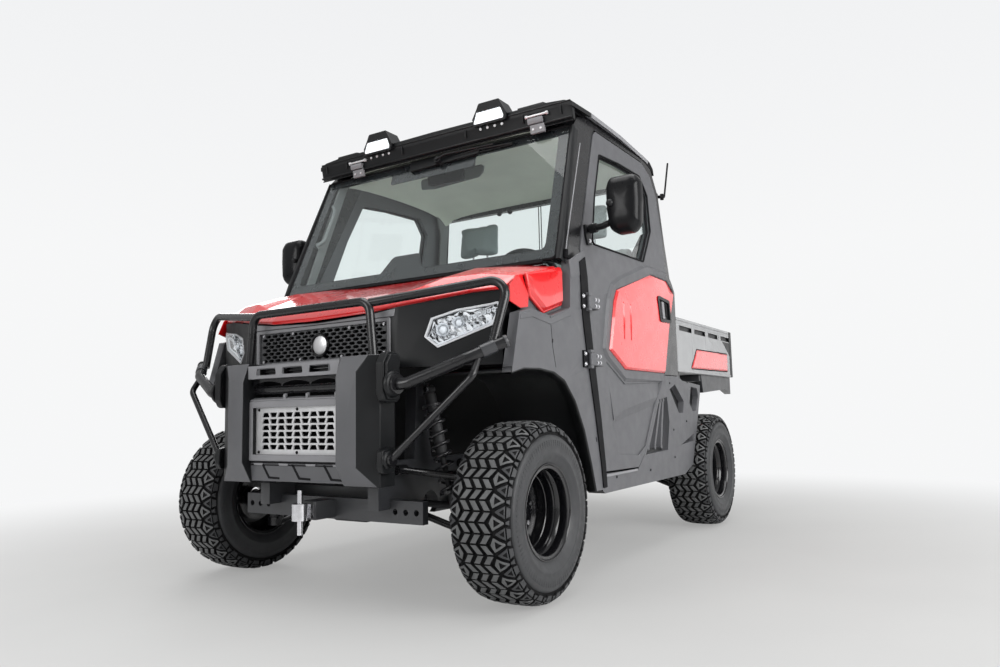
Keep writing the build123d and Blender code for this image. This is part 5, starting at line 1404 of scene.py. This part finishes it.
# ================================================================ seats
SEAT_Y = 350.0                  # middle of each seat
VOXEL = 6.0                     # cell of the even mesh that the cloth swells
PRESSURE = 4.0
SWELL_STEPS = 20
STITCH = 5.0                    # width and depth of a sewn line


def swell(body, cap):
    """Blows a form up by cloth pressure, each point by cap at most."""
    scene = bpy.context.scene
    cloth = body.modifiers.new("swell", "CLOTH")
    cloth.settings.use_pressure = True
    cloth.settings.uniform_pressure_force = PRESSURE
    cloth.settings.effector_weights.gravity = 0.0
    for step in range(1, SWELL_STEPS + 1):
        scene.frame_set(step)
    swollen = body.evaluated_get(bpy.context.evaluated_depsgraph_get()).data
    moved = []
    for old, new in zip(body.data.vertices, swollen.vertices):
        way = new.co - old.co
        moved.append(old.co + way * min(1.0, cap * MM / max(way.length, 1e-9)))
    scene.frame_set(1)
    body.modifiers.clear()
    for vert, place in zip(body.data.vertices, moved):
        vert.co = place


def pad(name, outline, half, cap=25.0, channels=()):
    """Padded form on both seats, swollen by cloth; channels are (coordinate, value) of sewn lines."""
    block = Form()
    core = arc_corners(drawn_in(outline, 13.0), 30, 5)
    rows = []
    for y, share in ((-half + 13, 16), (-half + 22, 5), (-half + 60, 0), (half - 60, 0), (half - 22, 5),
                     (half - 13, 16)):
        rows.append([(a, y + SEAT_Y, z) for a, z in drawn_in(core, share)])
    block.loft(rows)
    mesh = bpy.data.meshes.new(name)
    mesh.from_pydata([((FRONT_X + v.x) * MM, v.y * MM, v.z * MM) for v in block.verts], [], block.faces)
    bm = bmesh.new()
    bm.from_mesh(mesh)
    bmesh.ops.recalc_face_normals(bm, faces=bm.faces)
    bm.to_mesh(mesh)
    bm.free()
    body = bpy.data.objects.new(name + "_form", mesh)
    bpy.context.scene.collection.objects.link(body)
    remesh = body.modifiers.new("even", "REMESH")
    remesh.mode = "VOXEL"
    remesh.voxel_size = VOXEL * MM
    even = bpy.data.meshes.new_from_object(body.evaluated_get(bpy.context.evaluated_depsgraph_get()))
    body.modifiers.clear()
    body.data = even
    swell(body, cap)
    bpy.data.objects.remove(body)
    for vert, normal in [(v, v.normal.copy()) for v in even.vertices]:
        at = (vert.co.x / MM - FRONT_X, vert.co.y / MM - SEAT_Y, vert.co.z / MM)
        sunk = sum(exp(-((at[axis] - value) / STITCH) ** 2) for axis, value in channels)
        vert.co -= normal * min(1.0, sunk) * STITCH * MM
    even.name = name
    for side, sign in SIDES:
        skin = even.copy()
        if sign < 0:
            bm = bmesh.new()
            bm.from_mesh(skin)
            bmesh.ops.scale(bm, vec=(1, -1, 1), verts=bm.verts)
            bmesh.ops.reverse_faces(bm, faces=bm.faces)
            bm.to_mesh(skin)
            bm.free()
        piece = dressed(skin, f"{side}_{name}", "root", "seat_cover",
                        ("seats",) if name == "headrest" else (), 60)


pad("seat_cushion", [(-1440, 735), (-960, 755), (-962, 850), (-1440, 835)], 288,
    channels=((1, -150), (1, 150)))
pad("seat_back", [(-1400, 850), (-1280, 850), (-1330, 1550), (-1425, 1550)], 278,
    channels=((1, -140), (1, 140), (2, 1400)))
pad("headrest", [(-1310, 1585), (-1330, 1805), (-1410, 1805), (-1405, 1585)], 143, cap=16.0)
fittings = Form()
for y in (300, 400):
    fittings.tube([(-1376, y, 1520), (-1372, y, 1620)], 6.5, sides=14)
fittings.use(1)
fittings.block(-1420, -980, 150, 550, 700, 738)
fittings.side([(-1440, 740), (-1392, 740), (-1392, 1480), (-1436, 1480)], 90, 610)
belt = [(-1450, 660, 1610), (-1436, 640, 1560), (-1330, 610, 1420), (-1240, 590, 1100), (-1230, 600, 880)]
fittings.slab([(a, y - 23, z) for a, y, z in belt] + [(a, y + 23, z) for a, y, z in belt[::-1]], (-2.0, 0, 0))
fittings.block(-1250, -1210, 50, 72, 800, 930)
fittings.pair("seat_fittings", "root", ("zinc", "black_plastic"), bevel=2.0)

# ================================================================ running gear
springs = Form()
for middle in (0.0, -WHEELBASE):
    top, foot = Vector((middle + 54, 361.1, 693.3)), Vector((middle + 54, 437.0, 379.0))
    along = (foot - top).normalized()
    across = along.cross(Vector((1, 0, 0))).normalized()
    other = along.cross(across)
    length = (foot - top).length
    coil = [top + along * (length * k / 128) + (across * cos(pi * k / 8) + other * sin(pi * k / 8)) * 33.0
            for k in range(129)]
    springs.use(0)
    springs.tube(coil, 6.0, sides=8)
    springs.tube([top - along * 8, top + along * 2], 40.0, sides=24)
    springs.tube([foot - along * 2, foot + along * 8], 40.0, sides=24)
    springs.use(1)
    springs.tube([top - along * 50, top + along * (length * 0.6)], 22.0, sides=20)
    springs.tube([top, foot + along * 80], 11.0, sides=16)
    for end in (Vector((middle + 54, 345.0, 760.0)), Vector((middle + 54, 460.0, 283.8))):
        springs.tube([end - Vector((16, 0, 0)), end + Vector((16, 0, 0))], 18.0, sides=20)
        springs.use(2)
        springs.bolt(end + Vector((17, 0, 0)), (1, 0, 0), 9.0)
        springs.use(1)
springs.pair("springs", "root", ("spring_paint", "cast_metal", "zinc"), smooth=50,
               replaces=("coilovers",))
boots = Form()
for middle in (0.0, -WHEELBASE):
    for low, high, z in ((97.0, 175.0, 329.0), (458.0, 530.0, 319.0)):
        rings = [(26 + 6 * (k % 2) + (k if low < 200 else -k) * -0.9 + 6, low + (high - low) * k / 12)
                 for k in range(13)]
        boots.spun([(12, low)] + rings + [(12, high)], (middle, 0, z), "y", sides=28)
boots.pair("axle_boots", "root", "rubber_seal", smooth=60)

# ================================================================ studio
FLOOR_FOR_LIGHT = (0.74, 0.74, 0.74, 1)     # what the lamps' light meets
FLOOR_SEEN = (0.215, 0.215, 0.213, 1)       # what the camera meets, with the glow on top
FLOOR_GLOW = (0.315, 0.315, 0.312, 1)
FADE_START, FADE_END = 1.3, 4.8             # metres from the middle, floor into backdrop
BACKDROP = (0.925, 0.93, 0.935, 1)
BACKDROP_TOP = (0.865, 0.872, 0.885, 1)
SKY_LIGHT = 0.42
REFLECTED_SHARE = 0.2                       # of the backdrop that shiny surfaces show


def studio():
    """Pale floor that fades into a white backdrop, soft lamps and a plain white surround."""
    mesh = bpy.data.meshes.new("studio_floor")
    mesh.from_pydata([(-60, -60, 0), (60, -60, 0), (60, 60, 0), (-60, 60, 0)], [], [(0, 1, 2, 3)])
    floor = bpy.data.objects.new("studio_floor", mesh)
    bpy.context.scene.collection.objects.link(floor)
    mat, tree, shader = blank_material("studio_floor")
    place = shader_node(tree, "TexCoord", {}).outputs["Object"]
    seen = shader_node(tree, "LightPath", {}).outputs["Is Camera Ray"]
    scuffs = shader_node(tree, "TexNoise", {"Scale": 1.6, "Detail": 6, "Vector": place})
    ramp = shader_node(tree, "ValToRGB", {"Fac": scuffs.outputs["Fac"]})
    dark, pale = ramp.color_ramp.elements
    dark.position, dark.color = 0.3, (0.92, 0.92, 0.92, 1)
    pale.position, pale.color = 0.7, (1.0, 1.0, 0.995, 1)
    paint = shader_node(tree, "Mix", {"A": FLOOR_FOR_LIGHT, "B": FLOOR_SEEN, "Factor": seen},
                        data_type="RGBA")
    toned = shader_node(tree, "Mix", {"Factor": 1.0, "A": paint.outputs["Result"],
                                      "B": ramp.outputs["Color"]},
                        data_type="RGBA", blend_type="MULTIPLY")
    feed(tree, shader, {"Roughness": 0.75, "Specular IOR Level": 0.15, "Base Color": toned.outputs["Result"],
                        "Emission Color": FLOOR_GLOW, "Emission Strength": seen})
    reach = shader_node(tree, "VectorMath", {0: place}, operation="LENGTH")
    fade = shader_node(tree, "MapRange", {"From Min": FADE_START, "From Max": FADE_END,
                                          "Value": reach.outputs["Value"]}, interpolation_type="SMOOTHSTEP")
    share = shader_node(tree, "Math", {0: fade.outputs["Result"], 1: seen}, operation="MULTIPLY")
    white = shader_node(tree, "Emission", {"Color": BACKDROP})
    show(tree, "Material Output", {"Fac": share.outputs["Value"], 1: shader.outputs["BSDF"],
                                   2: white.outputs["Emission"]})
    mesh.materials.append(mat)

    world = bpy.data.worlds.new("studio")
    bpy.context.scene.world = world
    world.use_nodes = True
    tree = world.node_tree
    soft = tree.nodes["Background"]
    feed(tree, soft, {"Color": (1, 1, 1, 1), "Strength": SKY_LIGHT})
    way = shader_node(tree, "TexCoord", {}).outputs["Generated"]
    parts = shader_node(tree, "SeparateXYZ", {"Vector": way})
    height = shader_node(tree, "MapRange", {"From Min": 0.2, "From Max": 0.55, "Value": parts.outputs["Z"]})
    wall = shader_node(tree, "Mix", {"A": BACKDROP, "B": BACKDROP_TOP, "Factor": height.outputs["Result"]},
                       data_type="RGBA")
    clear = shader_node(tree, "Background", {"Color": wall.outputs["Result"]})
    rays = shader_node(tree, "LightPath", {}).outputs
    seen = shader_node(tree, "Math", {0: rays["Is Camera Ray"], 1: rays["Is Transmission Ray"]},
                       operation="MAXIMUM")
    shiny = shader_node(tree, "Math", {0: rays["Is Glossy Ray"], 1: REFLECTED_SHARE,
                                       2: seen.outputs["Value"]},
                        operation="MULTIPLY_ADD")
    show(tree, "World Output", {"Fac": shiny.outputs["Value"], 1: soft.outputs["Background"],
                                2: clear.outputs["Background"]})

    lamps = [  # name, place, aim, width, height, watts
        ("key_left", (1.5, 5.5, 2.6), (0.2, 0.0, 1.0), 4.0, 3.0, 300.0),
        ("overhead", (0.6, 0.4, 5.5), (0.0, 0.0, 0.8), 5.0, 4.0, 240.0),
        ("front_fill", (6.5, -1.5, 2.8), (0.8, 0.0, 0.8), 3.0, 2.5, 130.0),
        ("back_right", (-3.5, -5.0, 3.2), (-0.2, 0.0, 1.0), 4.0, 2.5, 150.0),
        ("back_left", (-5.2, 3.9, 1.7), (0.0, 0.8, 1.0), 4.5, 3.0, 36.0)]
    for name, spot, aim, width, height, watts in lamps:
        light = bpy.data.lights.new(name, "AREA")
        light.shape = "RECTANGLE"
        light.size, light.size_y, light.energy = width, height, watts
        lamp = bpy.data.objects.new(name, light)
        lamp.location = spot
        lamp.visible_camera = False
        lamp.visible_transmission = False
        lamp.rotation_euler = (Vector(aim) - Vector(spot)).to_track_quat("-Z", "Y").to_euler()
        bpy.context.scene.collection.objects.link(lamp)


def camera():
    """The studio's viewpoint, solved from the vehicle's own symmetry."""
    place = Vector((3.5122, 2.1065, 0.6602))
    yaw, pitch, roll = radians(32.086), radians(6.121), radians(-1.271)
    focal, frame_width = 751.2, 1000.0          # pixels
    sensor = 36.0                               # millimetres
    forward = Vector((-cos(yaw) * cos(pitch), -sin(yaw) * cos(pitch), sin(pitch)))
    level = forward.cross(Vector((0, 0, 1))).normalized()
    rise = level.cross(forward)
    right = level * cos(roll) + rise * sin(roll)
    up = rise * cos(roll) - level * sin(roll)
    lens = bpy.data.cameras.new("camera")
    lens.sensor_width = sensor
    lens.lens = focal / frame_width * sensor
    lens.clip_end = 200.0
    eye = bpy.data.objects.new("camera", lens)
    eye.matrix_world = Matrix((right, up, -forward)).transposed().to_4x4()
    eye.location = place
    bpy.context.scene.collection.objects.link(eye)
    bpy.context.scene.camera = eye


studio()
camera()
bpy.context.scene.view_settings.view_transform = "Standard"
